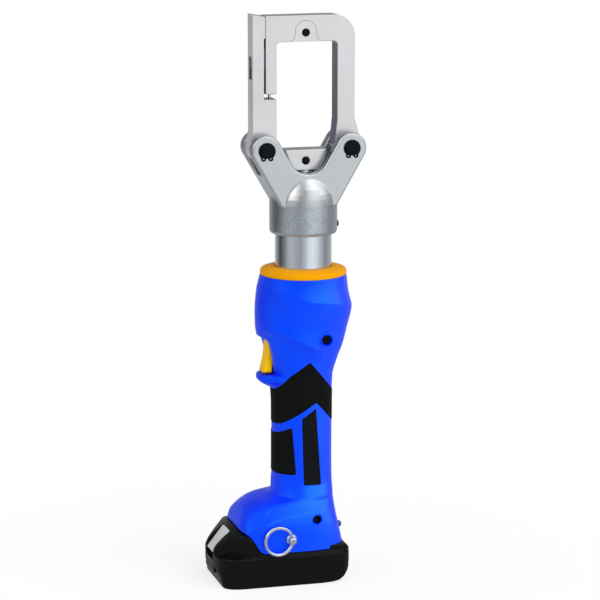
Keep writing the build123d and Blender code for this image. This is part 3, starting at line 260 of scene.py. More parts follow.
def shader_group(name, sizes):
    """Shader group with named inputs, their sockets, and the place on the piece."""
    group = bpy.data.node_groups.new(name, "ShaderNodeTree")
    add_inputs(group, sizes)
    return group, given_to(group), put(group, "ShaderNodeTexCoord").outputs["Object"]


def close_group(group, **results):
    """Gives a group its named outputs."""
    for name in results:
        group.interface.new_socket(name, in_out="OUTPUT", socket_type=FLOAT)
    put(group, "NodeGroupOutput", **results)
    return group


def noise(tree, place, scale, detail, roughness):
    node = put(tree, "ShaderNodeTexNoise", Vector=place, Scale=scale, Detail=detail, Roughness=roughness)
    return node.outputs["Fac"]


def grain_group():
    """Fine moulded or blasted texture with a slow change of tone."""
    group, given, place = shader_group(
        "surface_grain", {"Grain Size": 1500.0, "Blotch Size": 30.0, "Sharpness": 2.0})
    fine = noise(group, place, given["Grain Size"], 3.0, 0.6)
    slow = noise(group, place, given["Blotch Size"], 4.0, 0.55)
    return close_group(group, Height=calc(group, "POWER", fine, given["Sharpness"]), Tone=slow)


def lines_group():
    """Grinding or turning lines: noise drawn out along the directions of small stretch."""
    group, given, place = shader_group("tool_lines", {"Stretch": (40.0, 40.0, 3000.0)})
    drawn = put(group, "ShaderNodeVectorMath", place, given["Stretch"], operation="MULTIPLY")
    fine, slow = noise(group, drawn, 1.0, 4.0, 0.7), noise(group, drawn, 0.13, 2.0, 0.5)
    return close_group(group, Height=fine, Tone=slow)


WEAR_SPAN = 0.09        # how much sharper than the first worn edges the fully worn ones are
# Levels of noise over which wear and scratches set in
WEAR_GATE, SCRATCH_GATE = (0.42, 0.62), (0.70, 0.76)
# Directions of the scratches: turn, and stretch across them
SCRATCH_LAY = (((0.3, 0.5, 0.9), (900, 60, 90)), ((0.9, -0.4, 0.2), (70, 1100, 60)))


def wear_group():
    """Rubbed edges, broken up by noise."""
    group, given, place = shader_group("edge_wear", {"Amount": 0.5, "Edge": 0.56, "Break Size": 400.0})
    form = put(group, "ShaderNodeNewGeometry")
    top = calc(group, "ADD", given["Edge"], WEAR_SPAN)
    edge = put(group, "ShaderNodeMapRange", form.outputs["Pointiness"], given["Edge"], top)
    gate = put(group, "ShaderNodeMapRange", noise(group, place, given["Break Size"], 5.0, 0.65), *WEAR_GATE)
    both = calc(group, "MULTIPLY", edge, gate)
    return close_group(group, Mask=calc(group, "MULTIPLY", both, given["Amount"]))


def scratch_group():
    """Sparse fine scratches in two directions."""
    group, given, place = shader_group("handling_scratches", {"Amount": 0.3, "Size": 1.0})
    masks = []
    for turn, stretch in SCRATCH_LAY:
        size = put(group, "ShaderNodeVectorMath", place, operation="SCALE", Scale=given["Size"])
        lay = put(group, "ShaderNodeMapping", size, Rotation=turn, Scale=stretch)
        masks.append(put(group, "ShaderNodeMapRange", noise(group, lay, 1.0, 1.0, 0.4), *SCRATCH_GATE))
    return close_group(group, Mask=calc(group, "MULTIPLY", calc(group, "MAXIMUM", *masks), given["Amount"]))


GRAIN, LINES, WEAR, SCRATCH = grain_group(), lines_group(), wear_group(), scratch_group()


# Finishes

def blank_finish(name, **shader):
    """Material with one Principled shader; constant values go on its own sockets."""
    material = bpy.data.materials.new(name)
    material.use_nodes = True
    tree = material.node_tree
    tree.nodes.clear()
    bsdf = put(tree, "ShaderNodeBsdfPrincipled", **shader)
    put(tree, "ShaderNodeOutputMaterial", bsdf)
    return material, tree, bsdf


def use_group(tree, group, **values):
    return put(tree, "ShaderNodeGroup", node_tree=group, **values)


def mix_colors(tree, mask, low, high):
    """Colour between two, by a mask; each is a colour or another node's output."""
    mix = put(tree, "ShaderNodeMix", mask, data_type="RGBA")
    ends = [socket for socket in mix.inputs if socket.type == "RGBA"]
    for socket, value in zip(ends, (low, high)):
        feed(tree, socket, value)
    return [socket for socket in mix.outputs if socket.type == "RGBA"][0]


def spread(tree, value, low, high, start=0.3, stop=0.7):
    """Value mapped from a noise's usual range."""
    return put(tree, "ShaderNodeMapRange", value, start, stop, low, high)


def relief(tree, bsdf, height, depth):
    """Bump of a depth in millimetres."""
    feed(tree, bsdf.inputs["Normal"],
         put(tree, "ShaderNodeBump", Strength=1.0, Distance=depth * MM, Height=height))


def uneven_gloss(tree, bsdf, skin, low, high, scratched, **scratches):
    """Roughness that drifts between two values and changes where the surface is scratched."""
    marks = use_group(tree, SCRATCH, **scratches)
    drift = spread(tree, skin.outputs["Tone"], low, high)
    feed(tree, bsdf.inputs["Roughness"], calc(tree, "MULTIPLY_ADD", marks, scratched, drift))


def toned(color, factor, plus=0.0):
    """Darker, lighter or paler colour."""
    return tuple(min(1.0, c * factor + plus) for c in color[:3]) + (1.0,)


RUBBED = (0.825, 0.0875)        # share of its colour that a rubbed plastic edge keeps, and what it gains
BARE_EDGE = (0.78, 0.78, 0.78, 1.0)
PIT_HEIGHTS, PIT_SHADE = (0.18, 0.42), 0.3


def plastic_finish(name, color, rough, grain, depth, wear=0.25, drift=0.07, sharp=2.0, shine=0.2,
                   gloss_tint=(1, 1, 1, 1)):
    """Moulded plastic: grain in relief, slow drift of tone, paler rubbed edges, faint scratches."""
    material, tree, bsdf = blank_finish(name, Specular_IOR_Level=shine, Specular_Tint=gloss_tint)
    skin = use_group(tree, GRAIN, Grain_Size=grain, Blotch_Size=28.0, Sharpness=sharp)
    rub = use_group(tree, WEAR, Amount=wear)
    tone = spread(tree, skin.outputs["Tone"], 0, 1)
    base = mix_colors(tree, tone, toned(color, 1 - drift), toned(color, 1 + drift))
    feed(tree, bsdf.inputs["Base Color"], mix_colors(tree, rub, base, toned(color, *RUBBED)))
    uneven_gloss(tree, bsdf, skin, rough - 0.05, rough + 0.05, scratched=-0.12, Amount=0.25)
    relief(tree, bsdf, skin.outputs["Height"], depth)
    return material


def metal_finish(name, color, rough, depth, stretch=None, grain=900.0, drift=0.08, wear=0.0, metallic=1.0,
                 pits=0.0):
    """Metal with tool lines or, without a stretch, a blasted skin; uneven gloss, bare edges, dark pits."""
    material, tree, bsdf = blank_finish(name, Metallic=metallic)
    skin = use_group(tree, GRAIN, Grain_Size=grain, Blotch_Size=22.0, Sharpness=1.5)
    marked = use_group(tree, LINES, Stretch=stretch) if stretch else skin
    tone, height = marked.outputs["Tone"], marked.outputs["Height"]
    base = mix_colors(tree, spread(tree, tone, 0, 1), toned(color, 1 - drift), toned(color, 1 + drift))
    if wear:
        rub = use_group(tree, WEAR, Amount=wear, Edge=0.54)
        base = mix_colors(tree, rub, base, BARE_EDGE)
    if pits:
        pitted = spread(tree, height, pits, 0, *PIT_HEIGHTS)
        base = mix_colors(tree, pitted, base, toned(color, PIT_SHADE))
    feed(tree, bsdf.inputs["Base Color"], base)
    uneven_gloss(tree, bsdf, skin, rough - 0.05, rough + 0.06, scratched=0.10, Amount=0.5, Size=1.4)
    relief(tree, bsdf, height, depth)
    return material


def lens_finish(name):
    """Dark tinted lens that scatters a little."""
    material, tree, bsdf = blank_finish(name, Transmission_Weight=0.3, IOR=1.49)
    skin = use_group(tree, GRAIN, Grain_Size=500.0, Blotch_Size=60.0)
    tint = mix_colors(tree, skin.outputs["Tone"], (0.03, 0.06, 0.20, 1), (0.05, 0.09, 0.26, 1))
    feed(tree, bsdf.inputs["Base Color"], tint)
    feed(tree, bsdf.inputs["Roughness"], spread(tree, skin.outputs["Tone"], 0.08, 0.2))
    relief(tree, bsdf, skin.outputs["Height"], 0.02)
    return material


# Depths of grain and tool lines are in millimetres; grain and stretch count noise cells per metre
PLASTICS = {
    "housing_blue": dict(color=rgb(1, 42, 252), rough=0.36, grain=1500, depth=0.03, wear=0.08, drift=0.05,
                         shine=1.0, gloss_tint=(0.08, 0.75, 1.0, 1)),
    "ring_orange": dict(color=rgb(234, 158, 0), rough=0.42, grain=1500, depth=0.03, wear=0.06, drift=0.04,
                        shine=0.06),
    "trigger_yellow": dict(color=rgb(252, 196, 0), rough=0.38, grain=1500, depth=0.03, wear=0.06, drift=0.04,
                           shine=0.10),
    "grip_black": dict(color=rgb(9, 12, 11), rough=0.62, grain=900, depth=0.10, wear=0.04, drift=0.12,
                       sharp=1.2, shine=0.10),
    "plate_black": dict(color=rgb(11, 12, 17), rough=0.30, grain=2500, depth=0.01, wear=0.03, drift=0.06,
                        shine=0.14),
    "pack_black": dict(color=rgb(5, 8, 8), rough=0.30, grain=1300, depth=0.03, wear=0.05, drift=0.10,
                       shine=0.18),
    "release_grey": dict(color=rgb(206, 210, 206), rough=0.45, grain=1500, depth=0.03, wear=0.05, drift=0.03),
    "seal_black": dict(color=rgb(34, 34, 34), rough=0.6, grain=1200, depth=0.04),
    "board_green": dict(color=rgb(30, 110, 60), rough=0.4, grain=1800, depth=0.02),
    "cell_wrap": dict(color=rgb(80, 150, 180), rough=0.35, grain=1500, depth=0.01),
}
METALS = {
    "steel_ground": dict(color=(0.80, 0.81, 0.82), rough=0.30, depth=0.003, stretch=(25, 25, 2600),
                         drift=0.02, wear=0.5),
    "steel_forged": dict(color=(0.635, 0.70, 0.765), rough=0.31, depth=0.30, grain=620, drift=0.10, wear=0.4,
                         pits=0.35),
    "steel_dressed": dict(color=(0.645, 0.685, 0.71), rough=0.29, depth=0.10, grain=700, drift=0.05, wear=0.4,
                          pits=0.08),
    # painted shade: dark steel on the fork's rims, standing for a dark outline of shade round the ears
    "steel_rim": dict(color=(0.27, 0.275, 0.30), rough=0.24, depth=0.12, grain=620, drift=0.10),
    # painted shade: dark steel put on the jaw's inner walls, standing for their shade and dark reflection
    "steel_blued": dict(color=(0.075, 0.075, 0.15), rough=0.22, depth=0.003, stretch=(2600, 2600, 25),
                        drift=0.3),
    "steel_polished": dict(color=(0.74, 0.81, 0.87), rough=0.15, depth=0.002, stretch=(30, 30, 3500),
                           drift=0.02),
    "steel_black": dict(color=(0.008, 0.009, 0.012), rough=0.36, depth=0.03, grain=1600, drift=0.2, wear=0.02,
                        metallic=0.9),
    "spring_steel": dict(color=(0.45, 0.45, 0.46), rough=0.28, depth=0.006, stretch=(900, 900, 900)),
    "bronze": dict(color=(0.62, 0.42, 0.18), rough=0.32, depth=0.006, stretch=(40, 40, 2600)),
    "alloy": dict(color=(0.66, 0.67, 0.68), rough=0.34, depth=0.006, stretch=(60, 60, 2200)),
    "motor_dark": dict(color=(0.16, 0.16, 0.17), rough=0.40, depth=0.02, grain=1200),
    "contact_metal": dict(color=(0.70, 0.54, 0.28), rough=0.24, depth=0.003, stretch=(900, 40, 900)),
}
FINISH = {name: plastic_finish(name, **look) for name, look in PLASTICS.items()}
FINISH.update({name: metal_finish(name, **look) for name, look in METALS.items()})
FINISH["lens_clear"] = lens_finish("lens_clear")
SLOT_OF = {part["node"]: part["material_slot"] for part in frame["record"]["subparts"]}
BODY_OF = {node: body for body, members in frame["record"]["behaviour"]["bodies"].items() for node in members}
for name, obj in nodes.items():
    obj.data.materials.clear()
    obj.data.materials.append(FINISH[SLOT_OF[name]])


# Mesh helpers

def soften(mesh, angle=35):
    """Smooth faces, sharp only across corners steeper than the angle."""
    mesh.shade_smooth()
    mesh.set_sharp_from_angle(angle=math.radians(angle))


def new_piece(name, points, faces, slot, angle=35):
    mesh = bpy.data.meshes.new(name)
    mesh.from_pydata((np.asarray(points, float) * MM).tolist(), [], [list(map(int, f)) for f in faces])
    mesh.update()
    mesh.materials.append(FINISH[slot])
    soften(mesh, angle)
    obj = bpy.data.objects.new(name, mesh)
    scene.collection.objects.link(obj)
    return obj


def baked(obj):
    """Takes a piece's modifiers over into its mesh."""
    bpy.context.view_layer.update()
    graph = bpy.context.evaluated_depsgraph_get()
    mesh = bpy.data.meshes.new_from_object(obj.evaluated_get(graph))
    obj.modifiers.clear()
    old, obj.data = obj.data, mesh
    bpy.data.meshes.remove(old)
    mesh.name = obj.name
    return obj


def settle(obj, angle=35):
    """Turns a piece with modifiers into a plain mesh."""
    soften(baked(obj).data, angle)
    return obj


def settle_flat(obj):
    """The same for machined pieces: wide faces keep their own normals up to the edge rounding."""
    settle(obj, 50)
    even = obj.modifiers.new("normals", "WEIGHTED_NORMAL")
    even.weight, even.keep_sharp = 100, True
    return baked(obj)


def seat(obj, slot, *replaced, body=None):
    """Puts a finished piece on its body, in place of its CAD nodes."""
    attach(obj, body or BODY_OF[replaced[0]])
    if replaced:
        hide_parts(*replaced)
    return obj


MERGE, CAD_MERGE = 1e-6, 2e-6       # metres within which points are one


def face_out(obj):
    """Merges doubles and turns every face outwards."""
    shape = bmesh.new()
    shape.from_mesh(obj.data)
    bmesh.ops.remove_doubles(shape, verts=shape.verts, dist=MERGE)
    bmesh.ops.recalc_face_normals(shape, faces=shape.faces)
    shape.to_mesh(obj.data)
    shape.free()
    return obj


def bevel(obj, width):
    rounding = obj.modifiers.new("edges", "BEVEL")
    rounding.width, rounding.segments = width * MM, 2
    rounding.limit_method, rounding.angle_limit = "ANGLE", math.radians(30)
    return obj


def lathe(name, outline, slot, segments):
    """Closed outline of radius and height, turned about the Z axis."""
    turns = np.linspace(0, 2 * math.pi, segments, endpoint=False)
    points = [(r * math.cos(t), r * math.sin(t), z) for t in turns for r, z in outline]
    n = len(outline)
    faces = []
    for k in range(segments):
        a, b = k * n, (k + 1) % segments * n
        faces += [(a + i, b + i, b + (i + 1) % n, a + (i + 1) % n) for i in range(n)]
    return face_out(new_piece(name, points, faces, slot))


def arc(centre, radius, start, stop, steps):
    """Points of a round corner, between two angles in degrees."""
    angles = [math.radians(a) for a in np.linspace(start, stop, steps + 1)]
    return [(centre[0] + radius * math.cos(a), centre[1] + radius * math.sin(a)) for a in angles]


# Solids from distance fields, for pieces with rounded and blended edges

def outline_field(u, v, points):
    """Signed distance to a closed outline, below zero inside."""
    near, sign = np.inf, 1.0
    for (ax, ay), (bx, by) in zip(points, points[-1:] + points[:-1]):
        ex, ey = bx - ax, by - ay
        wx, wy = u - ax, v - ay
        t = np.clip((wx * ex + wy * ey) / (ex * ex + ey * ey), 0, 1)
        near = np.minimum(near, (wx - ex * t) ** 2 + (wy - ey * t) ** 2)
        above, below, left = v >= ay, v < by, ex * wy > ey * wx
        sign = np.where((above & below & left) | (~above & ~below & ~left), -sign, sign)
    return sign * np.sqrt(near)


def round_max(a, b, r):
    """Where two fields overlap, with a round outer edge."""
    return np.minimum(np.maximum(a, b), -r) + np.hypot(np.maximum(a + r, 0), np.maximum(b + r, 0))


def blend_min(a, b, r):
    """Two fields joined with a soft inner corner."""
    h = np.clip(0.5 + 0.5 * (b - a) / r, 0, 1)
    return b * (1 - h) + a * h - r * h * (1 - h)


def box_field(x, y, z, low, high, r):
    """Box between two corners with round edges."""
    sides = [np.maximum(lo - v, v - hi) for v, lo, hi in zip((x, y, z), low, high)]
    return round_max(round_max(sides[0], sides[1], r), sides[2], r)


PROBE = 0.04        # half the step over which a field's slope is read
GRID_BAND = 3       # cells on both sides of a surface in which its distance is kept


def field_slope(field, points):
    return np.stack([(field(*(points + step).T) - field(*(points - step).T)) / (2 * PROBE)
                     for step in PROBE * np.eye(3)], 1)


def field_piece(name, field, low, high, step, slot):
    """Mesh of a field's surface, its points drawn onto the exact surface."""
    low = np.asarray(low, float) - 1.5 * step
    counts = np.ceil((np.asarray(high, float) - low) / step).astype(int) + 2
    x, y, z = (lo + step * np.arange(n) for lo, n in zip(low, counts))
    values = np.broadcast_to(field(x[:, None, None], y[None, :, None], z[None, None, :]), counts)
    reach = GRID_BAND * step
    grid = openvdb.FloatGrid(reach)
    grid.copyFromArray(np.ascontiguousarray(np.clip(values, -reach, reach), dtype=np.float32))
    points, triangles, quads = grid.convertToPolygons(0.0, 0.0)
    points = points.astype(float) * step + low
    for _ in range(3):
        slope = field_slope(field, points)
        size = np.maximum((slope ** 2).sum(1), 0.2)
        points = points - np.clip(field(*points.T) / size, -0.5 * step, 0.5 * step)[:, None] * slope
    return face_out(new_piece(name, points, list(triangles) + list(quads), slot, 50))


def seat_field(name, field, low, high, step, slot, *replaced, body=None):
    """Piece from a field, put on its body."""
    seat(field_piece(name, field, low, high, step, slot), slot, *replaced, body=body)


# Housing

SIDE = {"left": -1, "right": 1}
WALL = 2.4
BULB_Z1 = 263.8
GRIP_OVAL = 0.58        # squareness of the grip's section
# Height, then the share of the foot's swelling at its nose, back and sides, then how blunt the nose is
FOOT_SHAPE = (
    (26.8, 1.00, 0.98, 0.99, 1.06), (33.1, 1.00, 0.76, 0.99, 1.06), (39.5, 1.00, 0.60, 1.00, 1.06),
    (45.8, 1.00, 0.43, 1.00, 1.05), (52.1, 0.97, 0.29, 0.97, 0.98), (57.5, 0.915, 0.18, 0.88, 0.91),
    (61.0, 0.86, 0.13, 0.79, 0.86), (64.6, 0.785, 0.09, 0.66, 0.81), (67.8, 0.67, 0.06, 0.54, 0.76),
    (70.4, 0.55, 0.045, 0.43, 0.70), (71.6, 0.37, 0.04, 0.38, 0.66), (72.6, 0.10, 0.03, 0.34, 0.63),
    (74.6, 0.02, 0.025, 0.28, 0.60), (78.5, 0.0, 0.015, 0.17, 0.58), (84.0, 0.0, 0.01, 0.03, 0.58),
)
# Reach to the front, back and sides above the foot, and how far the foot swells there
FOOT_NECK, FOOT_SWELL, FOOT_SQUARE = (28.2, 24.5, 23.3), (34.3, 9.0, 13), 0.22
# Height, then reach to the front, back and sides, then squareness, above the foot
GRIP_ROWS = (
    (91.0, 27.6, 24.3, 23.4, GRIP_OVAL), (109.6, 27.4, 24.2, 23.3, GRIP_OVAL),
    (150.0, 27.4, 24.2, 23.3, GRIP_OVAL), (175.8, 29.4, 25.0, 24.0, GRIP_OVAL),
    (189.9, 33.7, 29.0, 25.6, GRIP_OVAL), (203.1, 38.4, 34.0, 28.4, GRIP_OVAL),
    (215.8, 41.0, 37.2, 31.4, 0.57), (232.1, 41.8, 40.0, 33.8, 0.56), (249.7, 40.4, 38.3, 35.3, 0.555),
    (BULB_Z1, 36.7, 36.7, 36.7, 0.5523),
)
FOOT_EDGE = [(-70, 49.2), (-62.9, 49.2), (-61.2, 48.2), (-59.2, 47.3), (-57.2, 45.9), (-55, 43.9),
             (-53, 41.4), (-51, 38.2), (-49.4, 35.4), (-47.6, 32.3), (-45.6, 30.3), (-43, 29.5), (43.5, 29.3)]
# The trigger's recess and its guard lip in the middle plane: Z and X
RECESS = [(178.9, -28.4), (184.0, -28.8), (189.5, -29.5), (195.0, -30.4), (200.4, -31.5), (205.0, -32.7),
          (208.4, -34.0), (209.8, -35.3), (210.8, -37.4), (211.6, -40.2), (212.4, -60)]
LIP = [(166.2, -22.7), (166.9, -28.2), (169.0, -33.2), (172.2, -38.8), (174.4, -40.9), (176.6, -41.2),
       (178.3, -40.3), (178.85, -38.6), (178.9, -22.7)]
LIP_TOP, LIP_LOW, LIP_HALF = 178.9, 166.9, 20.5
LIP_PLAN = (41.2, 18.6, LIP_HALF, GRIP_OVAL, GRIP_OVAL)
# Upper edge of the grip band towards the front, which the lip's lower edge follows
BAND_TOP = [(-40, 153.0), (-28.2, 165.6), (-16.6, 179.6), (-1, 191.8)]


def handle_rows():
    """Height, reach to the front, back and sides, and squareness at the back and front."""
    rows = []
    for z, *shares, blunt in FOOT_SHAPE:
        reach = [neck + swell * share for neck, swell, share in zip(FOOT_NECK, FOOT_SWELL, shares)]
        rows.append((z, *reach, GRIP_OVAL + FOOT_SQUARE * shares[2], blunt))
    return rows + [(*row, row[-1]) for row in GRIP_ROWS]


def smooth_rows(rows, step=0.5, blur=1.1):
    """Rows resampled on a fine, even scale by monotone cubics, then softened."""
    rows = np.array(rows, float)
    z, gap = rows[:, 0], np.diff(rows[:, 0])
    fine = np.arange(z[0], z[-1] + step / 2, step)
    table = [fine]
    reach = 12
    width = np.arange(-reach, reach + 1) * step
    kernel = np.exp(-0.5 * (width / blur) ** 2)
    kernel /= kernel.sum()
    for column in rows[:, 1:].T:
        chord = np.diff(column) / gap
        slope = np.zeros(len(z))
        slope[0], slope[-1] = chord[0], chord[-1]
        for k in range(1, len(z) - 1):
            if chord[k - 1] * chord[k] > 0:
                w1, w2 = 2 * gap[k] + gap[k - 1], gap[k] + 2 * gap[k - 1]
                slope[k] = (w1 + w2) / (w1 / chord[k - 1] + w2 / chord[k])
        k = np.clip(np.searchsorted(z, fine, side="right") - 1, 0, len(gap) - 1)
        t = (fine - z[k]) / gap[k]
        curve = ((1 + 2 * t) * (1 - t) ** 2 * column[k] + t * (1 - t) ** 2 * gap[k] * slope[k]
                 + t * t * (3 - 2 * t) * column[k + 1] + t * t * (t - 1) * gap[k] * slope[k + 1])
        before, after = curve[reach:0:-1], curve[-2:-reach - 2:-1]
        padded = np.concatenate([2 * curve[0] - before, curve, 2 * curve[-1] - after])
        table.append(np.convolve(padded, kernel, mode="valid"))
    return np.array(table)


HANDLE = smooth_rows(handle_rows())


def reach_at(z):
    """Front, back and side reach and both squarenesses of the handle at a height."""
    return [np.interp(z, HANDLE[0], row) for row in HANDLE[1:]]


def bezier(t, a, b, c, d):
    s = 1 - t
    return s ** 3 * a + 3 * s * s * t * b + 3 * s * t * t * c + t ** 3 * d


def oval_point(turn, front, back, half, square, blunt):
    """Point of the half section, from its front (0) by its side (1) to its back (2)."""
    centre = (back - front) / 2
    ahead = turn <= 1
    t = np.where(ahead, turn, 2 - turn)
    end = np.where(ahead, -front, back)
    square = np.where(ahead, blunt, square)
    x = bezier(t, end, end, centre + square * (end - centre), centre)
    y = bezier(t, 0, square * half, half, half)
    return x, y


def turn_at_width(y, half, square):
    """Where the front quarter of a section is that wide."""
    t = np.clip(y / half * 0.55, 0, 1)
    for _ in range(7):
        slope = 3 * (1 - t) ** 2 * square + 6 * t * (1 - t) * (1 - square)
        t = np.clip(t - (bezier(t, 0, square, 1, 1) - y / half) / np.maximum(slope, 0.05), 0, 1)
    return t


SLOT_HALF = 8.5
FRONT_WIDTHS = [0, 0.35, 1.4, 2.6, 3.8, 5.0, 6.2, 7.4, SLOT_HALF, 9.6, 10.8, 12.0]
SIDE_COLUMNS = 86
SLOT_COLUMN = FRONT_WIDTHS.index(SLOT_HALF)
SEAM_SHARE = 0.997      # where the last column before the parting line at the back lies
# Styling lines on the bulb and foot: X and Z along the line, height, fall above and below, X where it fades
CREASES = [
    ([(-36, 254.8), (-20.6, 250.8), (-2.1, 244.8), (14, 242.8), (31, 239.2), (42, 235.5)],
     2.0, 19.0, 24.0, (-37, -26, 39, 43)),
    ([(-43, 220.0), (-33.4, 219.0), (-25.8, 217.0), (-9.4, 209.5), (10.4, 199.2)],
     2.6, 22.0, 11.0, (-41, -34, 2, 13)),
    ([(-54, 47.0), (-44.6, 53.5), (-34.5, 57.8), (-22.6, 60.5), (-7.7, 62.0), (22, 63.6)],
     1.5, 9.0, 14.0, (-55, -42, 8, 22)),
    ([(-62, 53.5), (-50, 59.5), (-40, 64.8), (-34, 70.5)], 1.0, 9.0, 6.0, (-63, -56, -40, -34)),
    ([(-62.5, 49), (-60, 54.5), (-57, 60), (-54, 66), (-52, 70)], 0.8, 7.0, 7.0, (-63, -61, -54, -51)),
]


def crease_rise(x, z):
    """How far the styling lines lift the surface."""
    rise = 0.0
    for line, height, above, below, ends in CREASES:
        line = np.array(line)
        off = z - np.interp(x, line[:, 0], line[:, 1])
        fall = np.clip(1 - np.where(off > 0, off / above, -off / below), 0, 1) ** 2
        rise = rise + height * fall * np.interp(x, ends, (0, 1, 1, 0))
    return rise


def soft_max(a, b, k=0.7):
    return 0.5 * (a + b + np.sqrt((a - b) ** 2 + k * k))


def handle_turns(z):
    """Turn of each column of the half skin, for rows of heights (rows, columns)."""
    _, _, half, _, blunt = reach_at(z)
    last = turn_at_width(FRONT_WIDTHS[-1], half[:, -1:], blunt[:, -1:])
    n = len(FRONT_WIDTHS)
    turns = np.empty_like(z)
    for j, width in enumerate(FRONT_WIDTHS):
        turns[:, j] = turn_at_width(width, half[:, j], blunt[:, j])
    share = np.concatenate([np.linspace(0, 1, SIDE_COLUMNS)[1:-1], [SEAM_SHARE, 1.0]])
    turns[:, n:] = last + (2 - last) * share[None, :]
    return turns


def skin_point(turns, z, lift=0.0):
    """Points of the half skin, Y positive; lift stands proud of it."""
    reach = reach_at(z)
    x, y = oval_point(turns, *reach)
    step = 0.004
    x1, y1 = oval_point(np.clip(turns - step, 0, 2), *reach)
    x2, y2 = oval_point(np.clip(turns + step, 0, 2), *reach)
    length = np.hypot(x2 - x1, y2 - y1)
    out_x, out_y = -(y2 - y1) / length, (x2 - x1) / length
    rise = lift + crease_rise(x, z)
    x, y = x + rise * out_x, np.maximum(y + rise * out_y, 0)
    return x, np.where((turns <= 0) | (turns >= 2), 0, y)


LIP_GRIP_RISE = 6       # height above the lip's lower edge at which the grip's width counts
LIP_GAP, LIP_LEAST = 1.2, 0.6       # room between the lip and the grip band, and the lip's least height


def lip_front(y, z):
    """Front of the guard lip at a width and height; its lower edge rises towards the sides."""
    width = np.minimum(y, LIP_HALF - 0.01)
    plan_x = oval_point(turn_at_width(width, LIP_HALF, GRIP_OVAL), *LIP_PLAN)[0]
    grip = reach_at(np.full_like(z, LIP_LOW + LIP_GRIP_RISE))
    grip_x = oval_point(turn_at_width(width, grip[2], grip[4]), *grip)[0]
    edge, rows = np.array(BAND_TOP), np.array(LIP)
    low = np.clip(np.interp(grip_x, edge[:, 0], edge[:, 1]) + LIP_GAP, LIP_LOW, LIP_TOP - LIP_LEAST)
    level = LIP_TOP - (LIP_TOP - z) * (LIP_TOP - LIP_LOW) / (LIP_TOP - low)
    tip = np.interp(level, rows[:, 0], rows[:, 1], left=0, right=0)
    return np.where(y < LIP_HALF, np.maximum(tip, plan_x), 0)


FOOT_TOP, FOOT_ROWS = 60.0, 34
# Heights of the skin's rows above the foot: from, to, step
SKIN_STEPS = ((FOOT_TOP, 69, 0.8), (69, 76, 0.3), (76, 84, 0.8), (84, 157, 1.7), (157, 177, 0.7),
              (177, 179.6, 0.2), (179.6, 206, 0.9), (206, 214, 0.45), (214, 263.0, 0.9))
# Rounded upper rim: heights and how far each lies inwards
RIM_ROWS, RIM_INSET = (263.0, 263.5, BULB_Z1), (0, 0.12, 0.5)
SEAM = 0.22             # half the parting line's width
LIP_BACK = -5           # X up to which the guard lip reaches back


def housing_heights():
    """Rows of the half skin: each column starts on the foot's lower edge."""
    columns = len(FRONT_WIDTHS) + SIDE_COLUMNS
    edge = np.array(FOOT_EDGE)
    low = np.full((1, columns), 45.0)
    for _ in range(12):
        x = oval_point(handle_turns(low), *reach_at(low))[0]
        low = 0.5 * low + 0.5 * np.interp(x, edge[:, 0], edge[:, 1])
    foot = low + (FOOT_TOP - low) * np.linspace(0, 1, FOOT_ROWS)[:, None]
    upper = np.concatenate([np.arange(*span) for span in SKIN_STEPS])[1:]
    upper = np.concatenate([upper, RIM_ROWS])
    return np.concatenate([foot, np.repeat(upper[:, None], columns, 1)])


def housing_skin():
    """Points of the right half skin."""
    z = housing_heights()
    x, y = skin_point(handle_turns(z), z)
    rows = np.array(RECESS)
    recessed = (z > RECESS[0][0]) & (z < RECESS[-1][0])
    x = np.where(recessed, soft_max(x, np.interp(z, rows[:, 0], rows[:, 1])), x)
    lip = np.where(z < LIP_TOP + 0.01, lip_front(y, z), 0)
    x = np.where(x > LIP_BACK, x, np.minimum(x, lip))
    x[:, 0] += SEAM
    x[:, -1] -= SEAM
    inset = np.interp(z, RIM_ROWS, RIM_INSET)
    away = np.maximum(np.hypot(x, y), 1)
    grid = np.stack([x - inset * x / away, y - inset * y / away, z], 2)
    return relax(grid)


# Heights between which the steps of the lip and of the recess are rounded, up to an X
LIP_STEP, RECESS_STEP, STEP_BACK = (158, 181.6), (206.5, 215), -8


def relax(grid):
    """Rounds the steps at the trigger's recess and its guard lip."""
    z, x = grid[:, :, 2], grid[:, :, 0]
    stepped = np.any([(z > low) & (z < high) for low, high in (LIP_STEP, RECESS_STEP)], axis=0)
    mask = stepped & (x < STEP_BACK)
    mask[:, 0] = False
    weight = np.where(mask, 0.5, 0.0)[..., None]
    front = np.where((z[:, 0] > LIP_STEP[0]) & (z[:, 0] < RECESS_STEP[1]), 0.5, 0.0)[:, None]
    for _ in range(4):
        near = grid.copy()
        near[1:-1, 1:-1] = (grid[:-2, 1:-1] + grid[2:, 1:-1] + grid[1:-1, :-2] + grid[1:-1, 2:]) / 4
        near[1:-1, 0] = (grid[:-2, 0] + grid[2:, 0]) / 2
        grid = grid + weight * (near - grid)
        grid[:, 0] = grid[:, 0] + front * (near[:, 0] - grid[:, 0])
        grid[:, 0, 1] = 0
    return grid


# Case screws: X and Z, then the seat of the head, the radius of its well and where the well's mouth flares
SCREW_UP, SCREW_LOW = (12.5, 210.8), (3.2, 55.8)
UP_SEAT, LOW_SEAT = 24.0, 29.0
UP_WELL, LOW_WELL = 4.7, 3.8
UP_MOUTH, LOW_MOUTH = 31.0, 34.2
TRIGGER_SLOT = (179.3, 209.9)       # heights of the trigger's slot in the shells


def across(obj, x, z, side):
    """Turns a piece from the Z axis towards one side, at a place."""
    turn = Matrix.Rotation(-side * math.pi / 2, 4, "X")
    obj.data.transform(Matrix.Translation(Vector((x, 0, z)) * MM) @ turn)
    return face_out(obj)


def well_cutter(x, z, radius, side, mouth):
    """Round cutter along Y with a softly flared mouth."""
    start, stop, wide = 10, 60, radius + 1.6
    flare = [(radius, start), (radius, mouth - 1.2), (radius + 0.25, mouth - 0.4),
             (radius + 0.9, mouth + 0.3), (wide, mouth + 1.2), (wide, stop), (0.001, stop), (0.001, start)]
    return across(lathe("well", flare, "housing_blue", 48), x, z, side)


